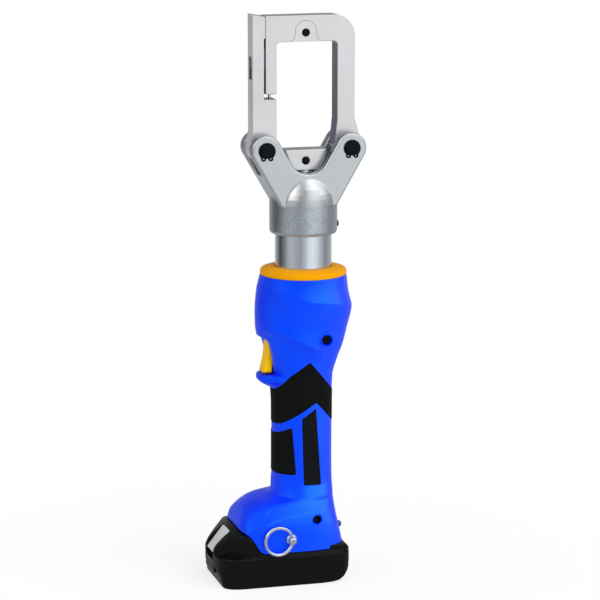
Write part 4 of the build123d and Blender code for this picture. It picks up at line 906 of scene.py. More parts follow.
def make_housing():
    """Two shells with wells for the case screws and a slot for the trigger."""
    grid = housing_skin()
    rows, columns = grid.shape[:2]
    keep, shells = [], []
    for i in range(rows - 1):
        for j in range(columns - 1):
            z = grid[i:i + 2, j:j + 2, 2]
            slot = j < SLOT_COLUMN and z.min() > TRIGGER_SLOT[0] and z.max() < TRIGGER_SLOT[1]
            if not slot:
                a = i * columns + j
                keep.append((a, a + columns, a + columns + 1, a + 1))
    for name, side in SIDE.items():
        points = grid.reshape(-1, 3) * (1, side, 1)
        faces = keep if side > 0 else [f[::-1] for f in keep]
        shell = new_piece(f"shell_{name}", points, faces, "housing_blue")
        wall = shell.modifiers.new("wall", "SOLIDIFY")
        wall.thickness, wall.offset, wall.use_even_offset = WALL * MM, -1, False
        settle(shell)
        cutters = [well_cutter(*SCREW_UP, UP_WELL, side, UP_MOUTH)]
        if side < 0:
            cutters.append(well_cutter(*SCREW_LOW, LOW_WELL, side, LOW_MOUTH))
        for cutter in cutters:
            cut = shell.modifiers.new("hole", "BOOLEAN")
            cut.operation, cut.solver, cut.object = "DIFFERENCE", "EXACT", cutter
        settle(shell, 40)
        for cutter in cutters:
            bpy.data.objects.remove(cutter)
        shells.append(seat(shell, "housing_blue", f"housing_{name}"))
    make_softbox(shells)


def handle_outline(z):
    """Outline of the handle at a height."""
    x, y = oval_point(np.linspace(0, 2, 41), *reach_at(np.full(41, z)))
    half = list(zip(x.tolist(), y.tolist()))
    return half + [(a, -b) for a, b in half[-2:0:-1]]


# The pack's rails: where they end at the back, half widths of neck and rails, heights, and room round them
RAIL_END, NECK_HALF, RAIL_HALF = 24.0, 21.0, 25.5
RAIL_LOW, RAIL_TOP, RAIL_ROOM = 37.0, 42.0, 0.3
CHANNEL_BASE, CHANNEL_LOW, CHANNEL_TOP = 30.0, 32.3, 52.0


def make_foot_channel():
    """Inside of the foot, with the channel that the pack's rails slide into."""
    low, high, edge = handle_outline(CHANNEL_BASE), handle_outline(CHANNEL_TOP), np.array(FOOT_EDGE)
    end, top = RAIL_END + RAIL_ROOM, RAIL_TOP + RAIL_ROOM
    neck_half, rail_half = NECK_HALF + RAIL_ROOM, RAIL_HALF + RAIL_ROOM

    def field(x, y, z):
        share = (z - CHANNEL_BASE) / (CHANNEL_TOP - CHANNEL_BASE)
        body = outline_field(x, y, low) * (1 - share) + outline_field(x, y, high) * share + WALL / 2
        under = np.maximum(np.interp(x, edge[:, 0], edge[:, 1]) + 0.25, CHANNEL_LOW)
        body = np.maximum(body, np.maximum((under - z) * 0.6, z - CHANNEL_TOP))
        neck = box_field(x, y, z, (-90, -neck_half, 20), (end, neck_half, top), 0.3)
        rail = box_field(x, y, z, (-90, -rail_half, RAIL_LOW - RAIL_ROOM), (end, rail_half, top), 0.3)
        return round_max(body, -np.minimum(neck, rail), 0.3)
    seat_field("foot_channel", field, (-63, -37, 31), (34, 37, 52.5), 0.9, "housing_blue", body="handle")


make_housing()
make_foot_channel()


# Grip bands, palm panels and label plates lie on the skin

SKIN_SPAN = 38.0    # millimetres along the skin for one quarter turn
BAND = BAND_TOP + [(40, 144.4), (40, 118), (33.6, 124.8), (5.3, 155.3), (-22.7, 137.3), (-40, 131)]
PANEL = [(-40, 125.3), (-26.7, 128.3), (-15.2, 134.6), (-12.0, 92.8), (-40, 92.6)]
LABEL = [(5.2, 150.8), (-7.4, 141.8), (-5.8, 83.8), (10.0, 83.2)]
EDGE_STEP, PAD_STEP, PAD_WALL = 0.55, 1.5, 1.0     # steps along a pad's edge and inside it, and its thickness
SEAM_NEAR = 0.02


def on_seam(loop):
    """Which points of an unrolled outline lie on the parting plane."""
    return (loop[:, 0] < SEAM_NEAR) | (loop[:, 0] > 2 * SKIN_SPAN - SEAM_NEAR)


def turn_at(x, z):
    """Turn of the skin's point with that X at a height."""
    turns = np.linspace(0, 2, 161)
    reach = reach_at(np.full(161, z))
    return float(np.interp(x, oval_point(turns, *reach)[0], turns))


def even_loop(points, gap):
    """Closed line with points at even steps."""
    points = np.array(points + points[:1], float)
    run = np.concatenate([[0], np.cumsum(np.hypot(*np.diff(points, axis=0).T))])
    marks = np.linspace(0, run[-1], int(run[-1] / gap), endpoint=False)
    return np.stack([np.interp(marks, run, points[:, k]) for k in (0, 1)], 1)


def pad_loop(outline, corner):
    """Outline on the unrolled skin, its corners rounded; runs anticlockwise."""
    loop = even_loop(outline, 0.5)
    flat = even_loop([(SKIN_SPAN * turn_at(x, z), z) for x, z in loop], EDGE_STEP)
    seam = on_seam(flat)
    reach = max(1, int(corner / EDGE_STEP))
    soft = sum(np.roll(flat, k, axis=0) for k in range(-reach, reach + 1)) / (2 * reach + 1)
    soft[seam, 0] = flat[seam, 0]
    area = np.sum(soft[:, 0] * np.roll(soft[:, 1], -1) - np.roll(soft[:, 0], -1) * soft[:, 1])
    return soft if area > 0 else soft[::-1]


def make_pad(name, outline, side, slot, node, proud=0.45, corner=1.6, edge=0.9, sunk=0.35):
    """Moulded pad that follows the skin, with a rounded rim."""
    loop = pad_loop(outline, corner)
    seam, rim = on_seam(loop), [tuple(p) for p in loop]

    def depth_in(points):
        return -outline_field(points[:, 0], points[:, 1], rim)

    def raised(depth):
        share = np.clip(depth / edge, 0, 1)
        return -sunk + (proud + sunk) * np.sqrt(1 - (1 - share) ** 2)
    ahead = np.roll(loop, -1, axis=0) - np.roll(loop, 1, axis=0)
    inward = np.stack([-ahead[:, 1], ahead[:, 0]], 1) / np.maximum(np.hypot(*ahead.T), 1e-6)[:, None]
    rings = [loop + inward * depth * ~seam[:, None] for depth in (0, 0.12 * edge, 0.4 * edge, edge)]
    low, high = loop.min(0), loop.max(0)
    u, v = np.meshgrid(*(np.arange(lo, hi + PAD_STEP, PAD_STEP) for lo, hi in zip(low, high)))
    lattice = np.stack([u.ravel(), v.ravel()], 1)
    at_seam = (lattice[:, 0] < PAD_STEP) | (lattice[:, 0] > 2 * SKIN_SPAN - PAD_STEP)
    inner = lattice[(depth_in(lattice) > edge + 0.45 * PAD_STEP) & ~at_seam]
    points = np.concatenate(rings + [inner])
    n = len(loop)
    lines = [(k * n + i, k * n + (i + 1) % n) for k in range(len(rings)) for i in range(n)]
    found, _, faces, _, _, _ = delaunay_2d_cdt([Vector(p) for p in points], lines, [], 1, 1e-5)
    found = np.array([tuple(p) for p in found])
    lift = raised(depth_in(found))
    if seam.any():
        near = np.minimum(found[:, 0], 2 * SKIN_SPAN - found[:, 0])
        lift = np.where(near < 2.5 * edge, raised(pad_depth(found, loop)), lift)
    x, y = skin_point(np.clip(found[:, 0] / SKIN_SPAN, 0, 2), found[:, 1], lift)
    solid = np.stack([x, y * side, found[:, 1]], 1)
    obj = new_piece(name, solid, faces if side < 0 else [f[::-1] for f in faces], slot)
    wall = obj.modifiers.new("thickness", "SOLIDIFY")
    wall.thickness, wall.offset = PAD_WALL * MM, -1
    seat(settle(obj), slot, node, body="handle")


def pad_depth(points, loop):
    """Depth inside an outline, leaving out its edges on the parting plane."""
    depth = np.full(len(points), np.inf)
    seam = on_seam(loop)
    for k in range(len(loop)):
        a, b = loop[k], loop[(k + 1) % len(loop)]
        if seam[k] and seam[(k + 1) % len(loop)]:
            continue
        e = b - a
        t = np.clip(((points - a) @ e) / max(e @ e, 1e-9), 0, 1)
        depth = np.minimum(depth, np.hypot(*(points - a - t[:, None] * e).T))
    return depth


for name, side in SIDE.items():
    make_pad(f"band_{name}", BAND, side, "grip_black", f"grip_band_{name}")
    make_pad(f"palm_{name}", PANEL, side, "grip_black", f"palm_panel_{name}", corner=2.4)
    make_pad(f"label_{name}", LABEL, side, "plate_black", f"label_plate_{name}",
             proud=0.12, corner=0.8, edge=0.4, sunk=0.1)


# Collar ring, trigger and small fittings of the handle

RING_R, RING_BORE = 36.7, 24.3


def make_collar_ring():
    z = BULB_Z1
    rim = ([(RING_BORE, z - 3.8), (33.2, z - 3.8), (33.2, z + 0.15), (RING_R - 0.5, z + 0.15)]
           + arc((RING_R - 0.4, z + 0.55), 0.4, -90, 0, 3) + arc((RING_R - 2.6, z + 2.4), 2.6, 0, 62, 8)
           + arc((28.4, z + 5.4), 1.3, 72, 100, 3) + [(27.2, z + 6.9)]
           + arc((RING_BORE + 0.8, z + 6.2), 0.8, 90, 180, 4))
    seat(lathe("collar", rim, "ring_orange", 160), "ring_orange", "collar_ring")


TRIGGER_SIDE = [(-32.9, 207.8), (-33.2, 203.5), (-33.6, 198.8), (-34.2, 194.0), (-35.0, 189.5),
                (-36.0, 185.5), (-37.0, 182.0), (-37.3, 180.6), (-29.4, 180.2), (-28.8, 186.8),
                (-27.2, 194.0), (-25.2, 201.8), (-24.8, 208.3), (-30.8, 209.1)]
TRIGGER_HALF, PIVOT, PIVOT_R, PIVOT_PROUD = 8.2, (-28.0, 205.3), 2.0, 3.4


def make_trigger():
    """Lever with both ends of its pivot pin."""
    def field(x, y, z):
        lever = round_max(outline_field(x, z, TRIGGER_SIDE), np.abs(y) - TRIGGER_HALF, 2.0)
        pin = np.hypot(x - PIVOT[0], z - PIVOT[1]) - PIVOT_R
        return np.minimum(lever, round_max(pin, np.abs(y) - TRIGGER_HALF - PIVOT_PROUD, 0.3))
    seat_field("trigger_lever", field, (-38, -12, 180), (-24.5, 12, 209.3), 0.45, "trigger_yellow", "trigger")


STUD_X, STUD_Y, STUD_Z, STUD_R, STUD_ROOT = -20.4, -40.6, 41.0, 3.2, -29.3
FLANGE_OUT, FLANGE_IN, FLANGE_R = -37.3, -34, 4.5
RING_MEAN, RING_WIRE, RING_ROOM = 11.8, 1.2, 0.7
RING_FLAT, RING_RISE, RING_DROP = 0.56, 2.05, -1.02     # the wire's flatness, the coil's height and its drop


def make_stud():
    """Stud with a round head and the ring's hole through it."""
    def field(x, y, z):
        away = np.hypot(x - STUD_X, z - STUD_Z)
        body = round_max(away - STUD_R, np.maximum(STUD_Y - STUD_R - y, y - STUD_ROOT), 1.5)
        flange = round_max(away - FLANGE_R, np.maximum(FLANGE_OUT - y, y - FLANGE_IN), 0.5)
        hole = np.hypot(x - STUD_X, y - STUD_Y) - RING_WIRE - RING_ROOM
        return round_max(blend_min(body, flange, 0.6), -hole, 0.3)
    low, high = (STUD_X - 5, -44, STUD_Z - 5), (STUD_X + 5, -29, STUD_Z + 5)
    seat_field("stud", field, low, high, 0.3, "steel_polished", "ring_stud")


make_collar_ring()
make_trigger()
make_stud()


# Repeated pieces, by node trees

def piece_tree(name, sizes):
    """Geometry tree with named sizes and a finish, and the sockets of its inputs by name."""
    tree = bpy.data.node_groups.new(name, "GeometryNodeTree")
    tree.interface.new_socket("Geometry", in_out="INPUT", socket_type="NodeSocketGeometry")
    add_inputs(tree, sizes)
    tree.interface.new_socket("Finish", in_out="INPUT", socket_type="NodeSocketMaterial")
    tree.interface.new_socket("Geometry", in_out="OUTPUT", socket_type="NodeSocketGeometry")
    return tree, given_to(tree)


def close_tree(tree, geometry, given):
    """Last steps of every tree: real meshes, with their finish."""
    real = put(tree, "GeometryNodeRealizeInstances", geometry)
    put(tree, "NodeGroupOutput", put(tree, "GeometryNodeSetMaterial", real, Material=given["Finish"]))
    return tree


def scaled(tree, value, factor):
    return calc(tree, "MULTIPLY", value, factor)


def along(tree, axis, value):
    """Vector with a value on one axis."""
    return put(tree, "ShaderNodeCombineXYZ", **{axis: value})


def moved(tree, geometry, height):
    """Geometry shifted up by a value."""
    return put(tree, "GeometryNodeTransform", geometry, Translation=along(tree, "Z", height))


def swept(tree, curve, profile):
    """Solid of a profile drawn along a curve, with closed ends."""
    return put(tree, "GeometryNodeCurveToMesh", curve, Profile_Curve=profile, Fill_Caps=True)


def round_bar(tree, vertices, radius, length):
    return put(tree, "GeometryNodeMeshCylinder", Vertices=vertices, Radius=radius, Depth=length)


SHANK_DROP = -0.498     # just under half of its length, so that the shank reaches into the head


def screw_tree():
    """Socket screws at the points, each along its own aim."""
    tree, given = piece_tree("socket_screws", {
        "Head Radius": 3.6, "Head Height": 3.0, "Socket Radius": 2.0, "Socket Depth": 1.8,
        "Shank Radius": 1.7, "Shank Length": 10.0})
    head = round_bar(tree, 40, given["Head Radius"], given["Head Height"])
    # The socket's cutter is centred on the top of the head, so half of its height is cut
    socket = round_bar(tree, 6, given["Socket Radius"], scaled(tree, given["Socket Depth"], 2.0))
    shank = round_bar(tree, 24, given["Shank Radius"], given["Shank Length"])
    cut = put(tree, "GeometryNodeMeshBoolean", moved(tree, head, scaled(tree, given["Head Height"], 0.5)),
              moved(tree, socket, given["Head Height"]), operation="DIFFERENCE")
    both = put(tree, "GeometryNodeJoinGeometry", cut)
    feed(tree, both.inputs[0], moved(tree, shank, scaled(tree, given["Shank Length"], SHANK_DROP)))
    aim = put(tree, "GeometryNodeInputNamedAttribute", data_type="FLOAT_VECTOR", Name="aim")
    turn = put(tree, "FunctionNodeAlignRotationToVector", axis="Z", Vector=aim.outputs["Attribute"])
    place = put(tree, "GeometryNodeInstanceOnPoints", given["Geometry"], Instance=both, Rotation=turn)
    return close_tree(tree, place, given)


def ring_tree():
    """Split ring: flat wire wound nearly twice round."""
    tree, given = piece_tree("split_ring", {"Radius": RING_MEAN, "Wire": RING_WIRE, "Turns": 1.9})
    coil = put(tree, "GeometryNodeCurveSpiral", Resolution=96, Rotations=given["Turns"],
               Start_Radius=given["Radius"], End_Radius=given["Radius"],
               Height=scaled(tree, given["Wire"], RING_RISE))
    strand = put(tree, "GeometryNodeCurvePrimitiveCircle", Resolution=16, Radius=given["Wire"])
    flat = put(tree, "GeometryNodeTransform", strand, Scale=(1.0, RING_FLAT, 1.0))
    ring = moved(tree, swept(tree, coil, flat), scaled(tree, given["Wire"], RING_DROP))
    return close_tree(tree, ring, given)


def rib_tree():
    """Row of round-topped ribs."""
    tree, given = piece_tree("finger_ribs", {"Count": 5, "Pitch": 3.0, "Width": 18.0, "Thickness": 0.6})
    gaps = calc(tree, "SUBTRACT", given["Count"], 1.0)
    first = calc(tree, "MULTIPLY", scaled(tree, given["Pitch"], -0.5), gaps)
    row = put(tree, "GeometryNodeMeshLine", Count=given["Count"], Offset=along(tree, "X", given["Pitch"]),
              Start_Location=along(tree, "X", first))
    start, end = (along(tree, "Y", scaled(tree, given["Width"], share)) for share in (-0.5, 0.5))
    line = put(tree, "GeometryNodeCurvePrimitiveLine", Start=start, End=end)
    section = put(tree, "GeometryNodeCurvePrimitiveCircle", Resolution=12, Radius=given["Thickness"])
    rib = swept(tree, line, section)
    return close_tree(tree, put(tree, "GeometryNodeInstanceOnPoints", row, Instance=rib), given)


def grow(name, tree, points, slot, aims=None, **values):
    """Runs a tree on its points and keeps the result as a plain mesh, sizes in millimetres."""
    mesh = bpy.data.meshes.new(name)
    mesh.from_pydata([tuple(p) for p in points], [], [])
    if aims is not None:
        aim = mesh.attributes.new("aim", "FLOAT_VECTOR", "POINT")
        aim.data.foreach_set("vector", np.array(aims, float).ravel())
    obj = bpy.data.objects.new(name, mesh)
    scene.collection.objects.link(obj)
    rule = obj.modifiers.new("rule", "NODES")
    rule.node_group = tree
    values["Finish"] = FINISH[slot]
    for item in tree.interface.items_tree:
        if item.in_out == "INPUT" and item.name.replace(" ", "_") in values:
            rule[item.identifier] = values[item.name.replace(" ", "_")]
    settle(obj)
    return face_out(obj)


def resize(obj, matrix=Matrix.Identity(4)):
    """Places a piece grown in millimetres."""
    obj.data.transform(Matrix.Scale(MM, 4) @ matrix)
    return obj


SCREWS = screw_tree()
SHANK_HOLE, WELL_WALL = 1.9, 1.2
UP_TUBE, LOW_TUBE = 30.6, 33.6      # where the tubes of the wells end
RING_START = 0.5                    # where the ring's wire starts, in radians


def make_screws():
    """Two screws in the bulb's wells and one in the foot."""
    (x, z), (low_x, low_z) = SCREW_UP, SCREW_LOW
    places = [(x, -UP_SEAT, z), (x, UP_SEAT, z), (low_x, -LOW_SEAT, low_z)]
    aims = [(0, -1, 0), (0, 1, 0), (0, -1, 0)]
    heads = resize(grow("case_screws", SCREWS, places, "steel_black", aims, Shank_Length=11.0))
    seat(settle(bevel(heads, 0.3)), "steel_black", "housing_screws")


def make_wells():
    """Tubes that the case screws sit in."""
    for name, place, radius, bottom, mouth, side in (
            ("well_left", SCREW_UP, UP_WELL, UP_SEAT, UP_TUBE, -1),
            ("well_right", SCREW_UP, UP_WELL, UP_SEAT, UP_TUBE, 1),
            ("well_foot", SCREW_LOW, LOW_WELL, LOW_SEAT, LOW_TUBE, -1)):
        outer, below = radius + WELL_WALL, bottom - WELL_WALL
        tube = [(SHANK_HOLE, below), (outer, below), (outer, mouth), (radius, mouth), (radius, bottom),
                (SHANK_HOLE, bottom)]
        seat(across(lathe(name, tube, "housing_blue", 48), *place, side), "housing_blue", body="handle")


def make_hang_ring():
    ring = grow("hanging_ring", ring_tree(), [(0, 0, 0)], "steel_polished")
    turn = Matrix.Rotation(math.pi / 2, 4, "X") @ Matrix.Rotation(RING_START, 4, "Z")
    resize(ring, Matrix.Translation((STUD_X - RING_MEAN, STUD_Y, STUD_Z)) @ turn)
    seat(ring, "steel_polished", "hang_ring")


make_screws()
make_wells()
make_hang_ring()


# Head

PIN_X, PIN_Z, EAR_R, FORK_HALF, ARM_SLOPE = 36.8, 371.8, 12.8, 20.5, math.radians(60)
NOTCH_Z, FORK_SLOT, FORK_FLOOR = 350.8, 9.3, 349.3
NECK_BORE, NECK_DEPTH, ROD_BORE, EYE_R = 24.06, 315.8, 10.6, 6.05
# Turned shoulder: radius and height
SHOULDER = [(-5, 298.8), (25.9, 298.8), (27.9, 299.6), (28.7, 301.6), (28.7, 327.0), (28.4, 330.0),
            (27.4, 334.0), (25.6, 338.6), (23.4, 342.8), (21.0, 346.4), (18.8, 348.5), (12, 349.4),
            (-5, 349.6)]
# Heights above which the cheeks are dressed and the rims painted dark as shade, and how far sideways a cheek
# and a rim face
DRESSED_LOW, RIM_LOW, CHEEK_FACING, RIM_FACING = 325, 352, 0.9, 0.4


def fork_outline():
    """Two arms with round ears that meet in a round notch."""
    inward = np.array((-math.sin(ARM_SLOPE), math.cos(ARM_SLOPE)))
    inner = np.array((PIN_X, PIN_Z)) + EAR_R * inward
    vertex = inner[1] - inner[0] * math.tan(ARM_SLOPE)
    notch = (NOTCH_Z - vertex) / (1 / math.cos(ARM_SLOPE) - 1)
    turn = math.degrees(ARM_SLOPE)
    right = [(12, 321), (23.5, 323.2)] + arc((PIN_X, PIN_Z), EAR_R, turn - 90, turn + 90, 28)
    right += arc((0, NOTCH_Z + notch), notch, turn - 90, -90, 12)
    return right + [(-x, z) for x, z in reversed(right[:-1])]


def make_fork():
    """Forging: arms blended into a turned shoulder, slotted for the jaw pieces."""
    arms = fork_outline()

    def field(x, y, z):
        cheeks = round_max(outline_field(x, z, arms), np.abs(y) - FORK_HALF, 1.6)
        boss = outline_field(np.hypot(x, y), z, SHOULDER)
        body = blend_min(cheeks, boss, 0.9)
        slot = np.maximum(np.abs(y) - FORK_SLOT, FORK_FLOOR - z)
        body = round_max(body, -slot, 0.8)
        bore = np.maximum(np.hypot(x, y) - NECK_BORE, z - NECK_DEPTH)
        rod = np.hypot(x, y) - ROD_BORE
        eyes = np.hypot(np.abs(x) - PIN_X, z - PIN_Z) - EYE_R
        return round_max(round_max(round_max(body, -bore, 0.5), -rod, 0.4), -eyes, 0.4)

    def cheek(at, out):
        return at.z > DRESSED_LOW and abs(at.y) > FORK_HALF - 0.7 and abs(out.y) > CHEEK_FACING

    # the cheeks' rounded edges get bright ground steel as a painted highlight
    def cheek_edge_painted_highlight(at, out):
        between = RIM_FACING < abs(out.y) <= CHEEK_FACING
        return at.z > DRESSED_LOW and abs(at.y) > FORK_HALF - 1.7 and between

    # rims get dark steel as a painted outline of shade
    def rim(at, out):
        return at.z > RIM_LOW and abs(out.y) <= RIM_FACING
    obj = field_piece("fork_forging", field, (-50.5, -29, 298.5), (50.5, 29, 385), 0.7, "steel_forged")
    # cheek edges: bright ground steel as a painted highlight; rims: dark steel as painted shade
    for finish, chosen in (("steel_dressed", cheek), ("steel_ground", cheek_edge_painted_highlight), ("steel_rim", rim)):
        second_finish(obj, finish, chosen)
    seat(obj, "steel_forged", "fork")


def second_finish(obj, finish, chosen):
    """Another finish on the faces that a rule picks, by place in millimetres and outward direction."""
    obj.data.materials.append(FINISH[finish])
    for face in obj.data.polygons:
        if chosen(face.center / MM, face.normal):
            face.material_index = len(obj.data.materials) - 1


JOIN_ANGLE = 0.6        # degrees up to which a CAD shape's faces count as one plane


def merged_copy(node, join=False):
    """Copy of a CAD shape with its points merged and, if asked, its faces in one plane joined."""
    obj = bpy.data.objects.new(f"{node}_piece", nodes[node].data.copy())
    scene.collection.objects.link(obj)
    shape = bmesh.new()
    shape.from_mesh(obj.data)
    bmesh.ops.remove_doubles(shape, verts=shape.verts, dist=CAD_MERGE)
    if join:
        bmesh.ops.dissolve_limit(
            shape, angle_limit=math.radians(JOIN_ANGLE), verts=shape.verts, edges=shape.edges)
    shape.to_mesh(obj.data)
    shape.free()
    if obj.data.has_custom_normals:
        obj.data.attributes.remove(obj.data.attributes["custom_normal"])
    return obj


def machined_copy(node, width):
    """Machined piece: the CAD shape with its edges broken."""
    obj = merged_copy(node, join=True)
    settle_flat(bevel(obj, width))
    return seat(obj, SLOT_OF[node], node)


RAM_TOP, RAM_LOW, RAM_FACE, RAM_CHAMFER = 370.4, 351.4, 8.3, 1.7
RAM_BUTTON_Z, RAM_BUTTON_BORE, RAM_BUTTON_DEPTH = 361.0, 3.46, 11
RAM_STUB_R, RAM_STUB_RISE = 5.02, 4


def make_ram_head():
    """Lower die seat, its lower edges chamfered."""
    t = np.linspace(0, 1, 14)
    side = list(zip(bezier(t, 18.3, 14.7, 13.8, 8.8), bezier(t, 367.4, 359.4, RAM_LOW, RAM_LOW)))

    def seat_outline(top):
        half = [(19.3 + (top - RAM_TOP) / 3, top)] + side
        return half + [(-x, z) for x, z in reversed(half)]
    # The chamfer follows an outline whose top lies far above, so that only lower edges have it
    front, chamfer = seat_outline(RAM_TOP), seat_outline(RAM_TOP + 30)

    def field(x, y, z):
        thick = np.abs(y) - RAM_FACE
        body = round_max(outline_field(x, z, front), thick, 0.45)
        body = round_max(body, (outline_field(x, z, chamfer) + thick + RAM_CHAMFER) * math.sqrt(0.5), 0.3)
        bore = np.maximum(np.hypot(x, z - RAM_BUTTON_Z) - RAM_BUTTON_BORE, y + RAM_FACE - RAM_BUTTON_DEPTH)
        stub = np.maximum(np.hypot(x, y) - RAM_STUB_R, z - RAM_LOW - RAM_STUB_RISE)
        return round_max(np.maximum(body, -stub), -bore, 0.25)
    seat_field("ram_die_seat", field, (-20, -9, 352), (20, 9, 371), 0.36, SLOT_OF["ram_head"], "ram_head")


CLIP_OUT, CLIP_IN, CLIP_HALF, CLIP_GAP = 7.2, 5.45, 0.6, 1.15
LUG_X, LUG_Z, LUG_R, LUG_HOLE = 3.2, -6.3, 2.0, 0.8
CLIP_PLACE = FORK_HALF + 0.7


def make_circlips():
    """Open spring rings with drilled lugs, on both ends of both pins."""
    def field(x, y, z):
        reach, lug = np.hypot(x, z), np.hypot(np.abs(x) - LUG_X, z - LUG_Z)
        body = np.minimum(np.maximum(reach - CLIP_OUT, CLIP_IN - reach), lug - LUG_R)
        body = np.maximum(np.maximum(body, -np.maximum(np.abs(x) - CLIP_GAP, z)), LUG_HOLE - lug)
        return round_max(body, np.abs(y) - CLIP_HALF, 0.15)
    obj = field_piece("pin_rings", field, (-7.6, -0.7, -9), (7.6, 0.7, 7.4), 0.14, SLOT_OF["pin_circlips"])
    shape = bmesh.new()
    for x in (-PIN_X, PIN_X):
        for y in (-CLIP_PLACE, CLIP_PLACE):
            ring = obj.data.copy()
            ring.transform(Matrix.Translation(Vector((x, y, PIN_Z)) * MM))
            shape.from_mesh(ring)
            bpy.data.meshes.remove(ring)
    shape.to_mesh(obj.data)
    shape.free()
    seat(obj, SLOT_OF["pin_circlips"], "pin_circlips")


# Machined pieces and the width of their broken edges
JAW_EDGES = {"yoke": 0.5, "latch": 0.5, "upper_die_seat": 0.7, "yoke_pin": 0.5, "latch_pin": 0.5,
             "fork_set_screw": 0.3}
# Inner walls of the jaw, given dark steel as painted shade and painted dark reflection: between which X and Z
# they lie, and the least that they face towards +X
PAINTED_SHADE_WALLS = {"yoke": ((-36, 28), (375, 482), -1.1), "latch": ((-43, 99), (378, 481), -0.5)}
WALL_FACING = 0.35      # how far sideways an inner wall may face


def make_jaw():
    """Yoke, latch and what sits in them, their inner walls painted dark as shade and dark reflection."""
    for node, width in JAW_EDGES.items():
        obj = machined_copy(node, width)
        if node in PAINTED_SHADE_WALLS:
            (left, right), (low, high), least = PAINTED_SHADE_WALLS[node]

            def inner(at, out):
                inside = left < at.x < right and low < at.z < high
                return inside and abs(out.y) < WALL_FACING and out.x > least
            # the inner walls get dark steel as painted shade and painted dark reflection
            second_finish(obj, "steel_blued", inner)


make_fork()
make_ram_head()
make_circlips()
make_jaw()


# Battery

PACK_SPLIT, PACK_TOP, PACK_LEDGE = 14.0, 26.4, 28.7
SPLIT_GAP, SPLIT_EDGE = 0.005, 0.01     # half the gap between base and cover, and the rounding there
# Lower body from the side: its underside and back, then its front
BODY_SIDE = [(-90, -9), (2, -9), (9, -0.9), (16, 0.1), (22, 1.6), (27, 4.6), (31, 9), (33, 14), (33.5, 19),
             (33.5, 40), (-90, 40)]
BODY_FRONT = [(-84.2, 40), (-84.2, 20.5), (-83.2, 16), (-81.7, 12), (-80.5, 8.5), (-79.7, 5), (-79.0, 1.8),
              (-78.4, -0.4), (-76, -9), (60, -9), (60, 40)]
# What the S-shaped step behind the head leaves, then the head's slope, both from the side, and its plan
HEAD_REAR = [(-100, 10), (33, 10), (33, PACK_LEDGE), (-43.6, PACK_LEDGE), (-46.2, 29.6), (-48.2, 31.7),
             (-50, 35), (-51.6, 37.8), (-53.6, 41), (-55.6, 43.4), (-57.8, 45.3), (-59.6, 46.6),
             (-61.6, 47.5), (-63.4, 48.5), (-66, 48.6), (-100, 48.6)]
HEAD_SLOPE = [(-83.3, 10), (-83.3, 29.2), (-82.7, 31.3), (-80.6, 34.6), (-76.6, 38.8), (-72.0, 42.8),
              (-67.8, 46.1), (-65.0, 48.2), (-63.4, 49.0), (40, 49.0), (40, 10)]
HEAD_PLAN = [(33.2, 28), (24, 36), (-56.5, 36), (-60.5, 34.8), (-65, 30.0), (-69.5, 25.0), (-76, 19.4),
             (-80.5, 16.0), (-86, 13.4)]
HEAD_PLAN += [(x, -y) for x, y in reversed(HEAD_PLAN)]
CROWN = 0.0030      # how fast the head falls away from its middle, per millimetre
RELEASE_PLACE, RELEASE_SLOPE = (-76.0, 35.5), math.radians(51.8)
RELEASE_REACH, RELEASE_HALF, RELEASE_ROOM = 12.6, 11.2, 0.3
DIP_RADIUS, DIP_RISE = 60, 60.2     # the finger dip's ball, and its centre above the button
RIB_PLACE = (-4.5, 0, 0.1)
PACK_SCREWS = [(-72.3, -19.0, 4.0), (-72.3, 19.0, 4.0), (27.0, -19.0, 8.4), (27.0, 19.0, 8.4)]
SCREW_WELL = 3.0


def pack_plan():
    """Pack from above: bowed front, straight sides, rounded back corners."""
    t = np.linspace(0, 1, 20)[:-1]
    bow = [(float(bezier(k, -60, -78, -84, -84)), float(bezier(k, 37.5, 37.5, 28.1, 0))) for k in t]
    corner = arc((21.5, 25.5), 12, 0, 90, 10)
    half = corner + bow
    return half + [(-84.0, 0.0)] + [(x, -y) for x, y in reversed(half)]


def on_slope(x, y, z):
    """Distance up the release slope and out of it."""
    dx, dz = x - RELEASE_PLACE[0], z + CROWN * y * y - RELEASE_PLACE[1]
    c, s = math.cos(RELEASE_SLOPE), math.sin(RELEASE_SLOPE)
    return dx * c + dz * s, dz * c - dx * s


PACK_PLAN = pack_plan()


def pack_form(x, y, z):
    """Outer form of the pack without deck and rails."""
    low = round_max(outline_field(x, y, PACK_PLAN), outline_field(x, z, BODY_FRONT), 1.5)
    low = round_max(round_max(low, outline_field(x, z, BODY_SIDE), 2.0), -z, 1.6)
    low = round_max(low, z - PACK_TOP, 1.0)
    head = round_max(outline_field(x, z, HEAD_REAR), outline_field(x, z + CROWN * y * y, HEAD_SLOPE), 0.5)
    head = round_max(head, outline_field(x, y, HEAD_PLAN), 1.0)
    return np.minimum(low, head)


# Hollow for the cells from the side and half its width, and the room for the contact clips above it
CELL_ROOM = [(-68.5, 2.6), (14.5, 2.6), (19.5, 4.2), (23, 8), (24.5, 13), (24.5, 21.2), (-68.5, 21.2)]
CELL_HALF, CLIP_ROOM = 32.8, ((-43.5, -25.5, 20), (21, 25.5, 29.6))


def pack_room(x, y, z):
    """Hollow for the cells and their contact clips."""
    cells = round_max(outline_field(x, z, CELL_ROOM), np.abs(y) - CELL_HALF, 0.5)
    return np.minimum(cells, box_field(x, y, z, *CLIP_ROOM, 0.5))


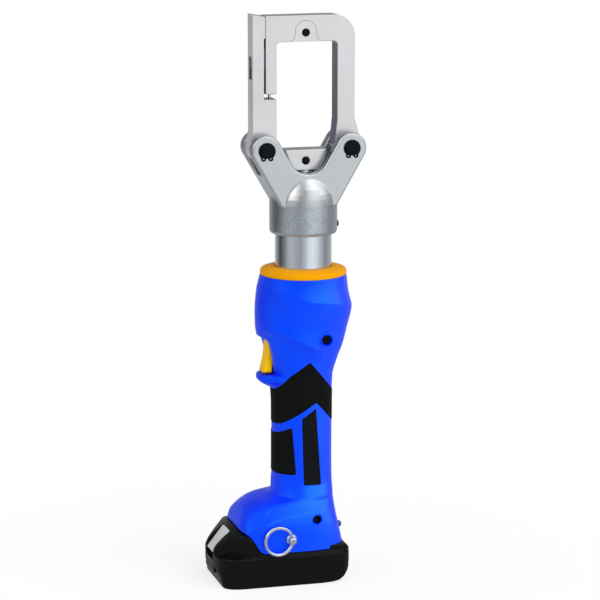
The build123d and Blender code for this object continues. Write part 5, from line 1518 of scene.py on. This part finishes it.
def make_pack_base():
    def field(x, y, z):
        body = round_max(pack_form(x, y, z), z - PACK_SPLIT + SPLIT_GAP, SPLIT_EDGE)
        body = np.maximum(body, -pack_room(x, y, z))
        for sx, sy, seat_z in PACK_SCREWS:
            well = np.maximum(np.hypot(x - sx, y - sy) - SCREW_WELL, z - seat_z)
            body = round_max(body, -well, 0.3)
        return body
    seat_field("pack_base", field, (-84.5, -38, -0.5), (34, 38, 14.2), 0.75, "pack_black", "battery_base")


# Deck under the rails, and the two slots in them for the contact blades: Y, half width and X
DECK_LOW, DECK_HIGH = (-46.5, -33, 18), (30.2, 33, 32)
BLADE_Y, BLADE_HALF, BLADE_START, BLADE_END = 9, 2.4, -6, 26


def make_pack_cover():
    start = DECK_LOW[0]

    def field(x, y, z):
        body = round_max(pack_form(x, y, z), PACK_SPLIT + SPLIT_GAP - z, SPLIT_EDGE)
        deck = box_field(x, y, z, DECK_LOW, DECK_HIGH, 0.8)
        neck = box_field(x, y, z, (start, -NECK_HALF, 30), (RAIL_END, NECK_HALF, RAIL_TOP), 0.5)
        rail = box_field(x, y, z, (start, -RAIL_HALF, RAIL_LOW), (RAIL_END, RAIL_HALF, RAIL_TOP), 0.6)
        body = blend_min(body, deck, 0.6)
        body = np.minimum(body, blend_min(neck, rail, 0.5))
        body = np.maximum(body, -pack_room(x, y, z))
        for way in (-BLADE_Y, BLADE_Y):
            low, high = (BLADE_START, way - BLADE_HALF, 34), (BLADE_END, way + BLADE_HALF, 44)
            body = round_max(body, -box_field(x, y, z, low, high, 0.3), 0.3)
        up, out = on_slope(x, y, z)
        reach, half = RELEASE_REACH + RELEASE_ROOM, RELEASE_HALF + RELEASE_ROOM
        well = box_field(up, y, out, (-RELEASE_REACH - 3, -half, -6.2), (reach, half, 12), 1.0)
        return round_max(body, -well, 0.45)
    seat_field("pack_cover", field, (-84.5, -38, 13.8), (34, 38, 52.5), 0.8, "pack_black", "battery_cover")


def make_release():
    """Release button with a shallow finger dip, and its ribs."""
    reach, half = RELEASE_REACH, RELEASE_HALF

    def field(x, y, z):
        up, out = on_slope(x, y, z)
        pad = box_field(up, y, out, (-reach, -half, -3), (reach, half, 0.5), 1.4)
        dip = np.sqrt(up ** 2 + (0.8 * y) ** 2 + (out - DIP_RISE) ** 2) - DIP_RADIUS
        return round_max(pad, -dip, 0.4)
    low, high = (-84, -12.5, 28), (-62, 12.5, 53)
    seat_field("release_pad", field, low, high, 0.5, "release_grey", "battery_button")
    place = Matrix.Translation((RELEASE_PLACE[0], 0, RELEASE_PLACE[1]))
    turn = Matrix.Rotation(-RELEASE_SLOPE, 4, "Y")
    ribs = grow("release_ribs", rib_tree(), [(0, 0, 0)], "release_grey",
                Count=4, Pitch=2.6, Width=11.0, Thickness=0.45)
    resize(ribs, place @ turn @ Matrix.Translation(RIB_PLACE))
    seat(ribs, "release_grey", body="battery_button")


def make_pack_screws():
    heads = grow("pack_screws", SCREWS, PACK_SCREWS, "steel_black", [(0, 0, -1)] * len(PACK_SCREWS),
                 Head_Radius=2.7, Head_Height=1.5, Socket_Radius=1.5, Socket_Depth=1.0, Shank_Radius=1.5,
                 Shank_Length=11.0)
    seat(settle(bevel(resize(heads), 0.2)), "steel_black", "battery_screws")


make_pack_base()
make_pack_cover()
make_release()
make_pack_screws()


# Springs: the joint that presses each one, the way it is pressed, and the share of its length left at the end

SPRINGS = {
    "return_spring": ("ram_stroke", (0, 0, 1), 0.42),
    "upper_button_spring": ("upper_button_press", (0, 1, 0), 0.67),
    "lower_button_spring": ("lower_button_press", (0, 1, 0), 0.67),
    "trigger_spring": ("trigger_pull", (1, 0, 0), 0.58),
    "release_spring": ("release_press", (0.77921, 0, -0.62676), 0.42),
}


def make_spring(node):
    """Copy of a CAD spring, put on its body in place of its CAD node, with a mesh of its own."""
    obj = settle(merged_copy(node))
    seat(obj, SLOT_OF[node], node)
    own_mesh(obj)


for node, (joint, way, left) in SPRINGS.items():
    make_spring(node)
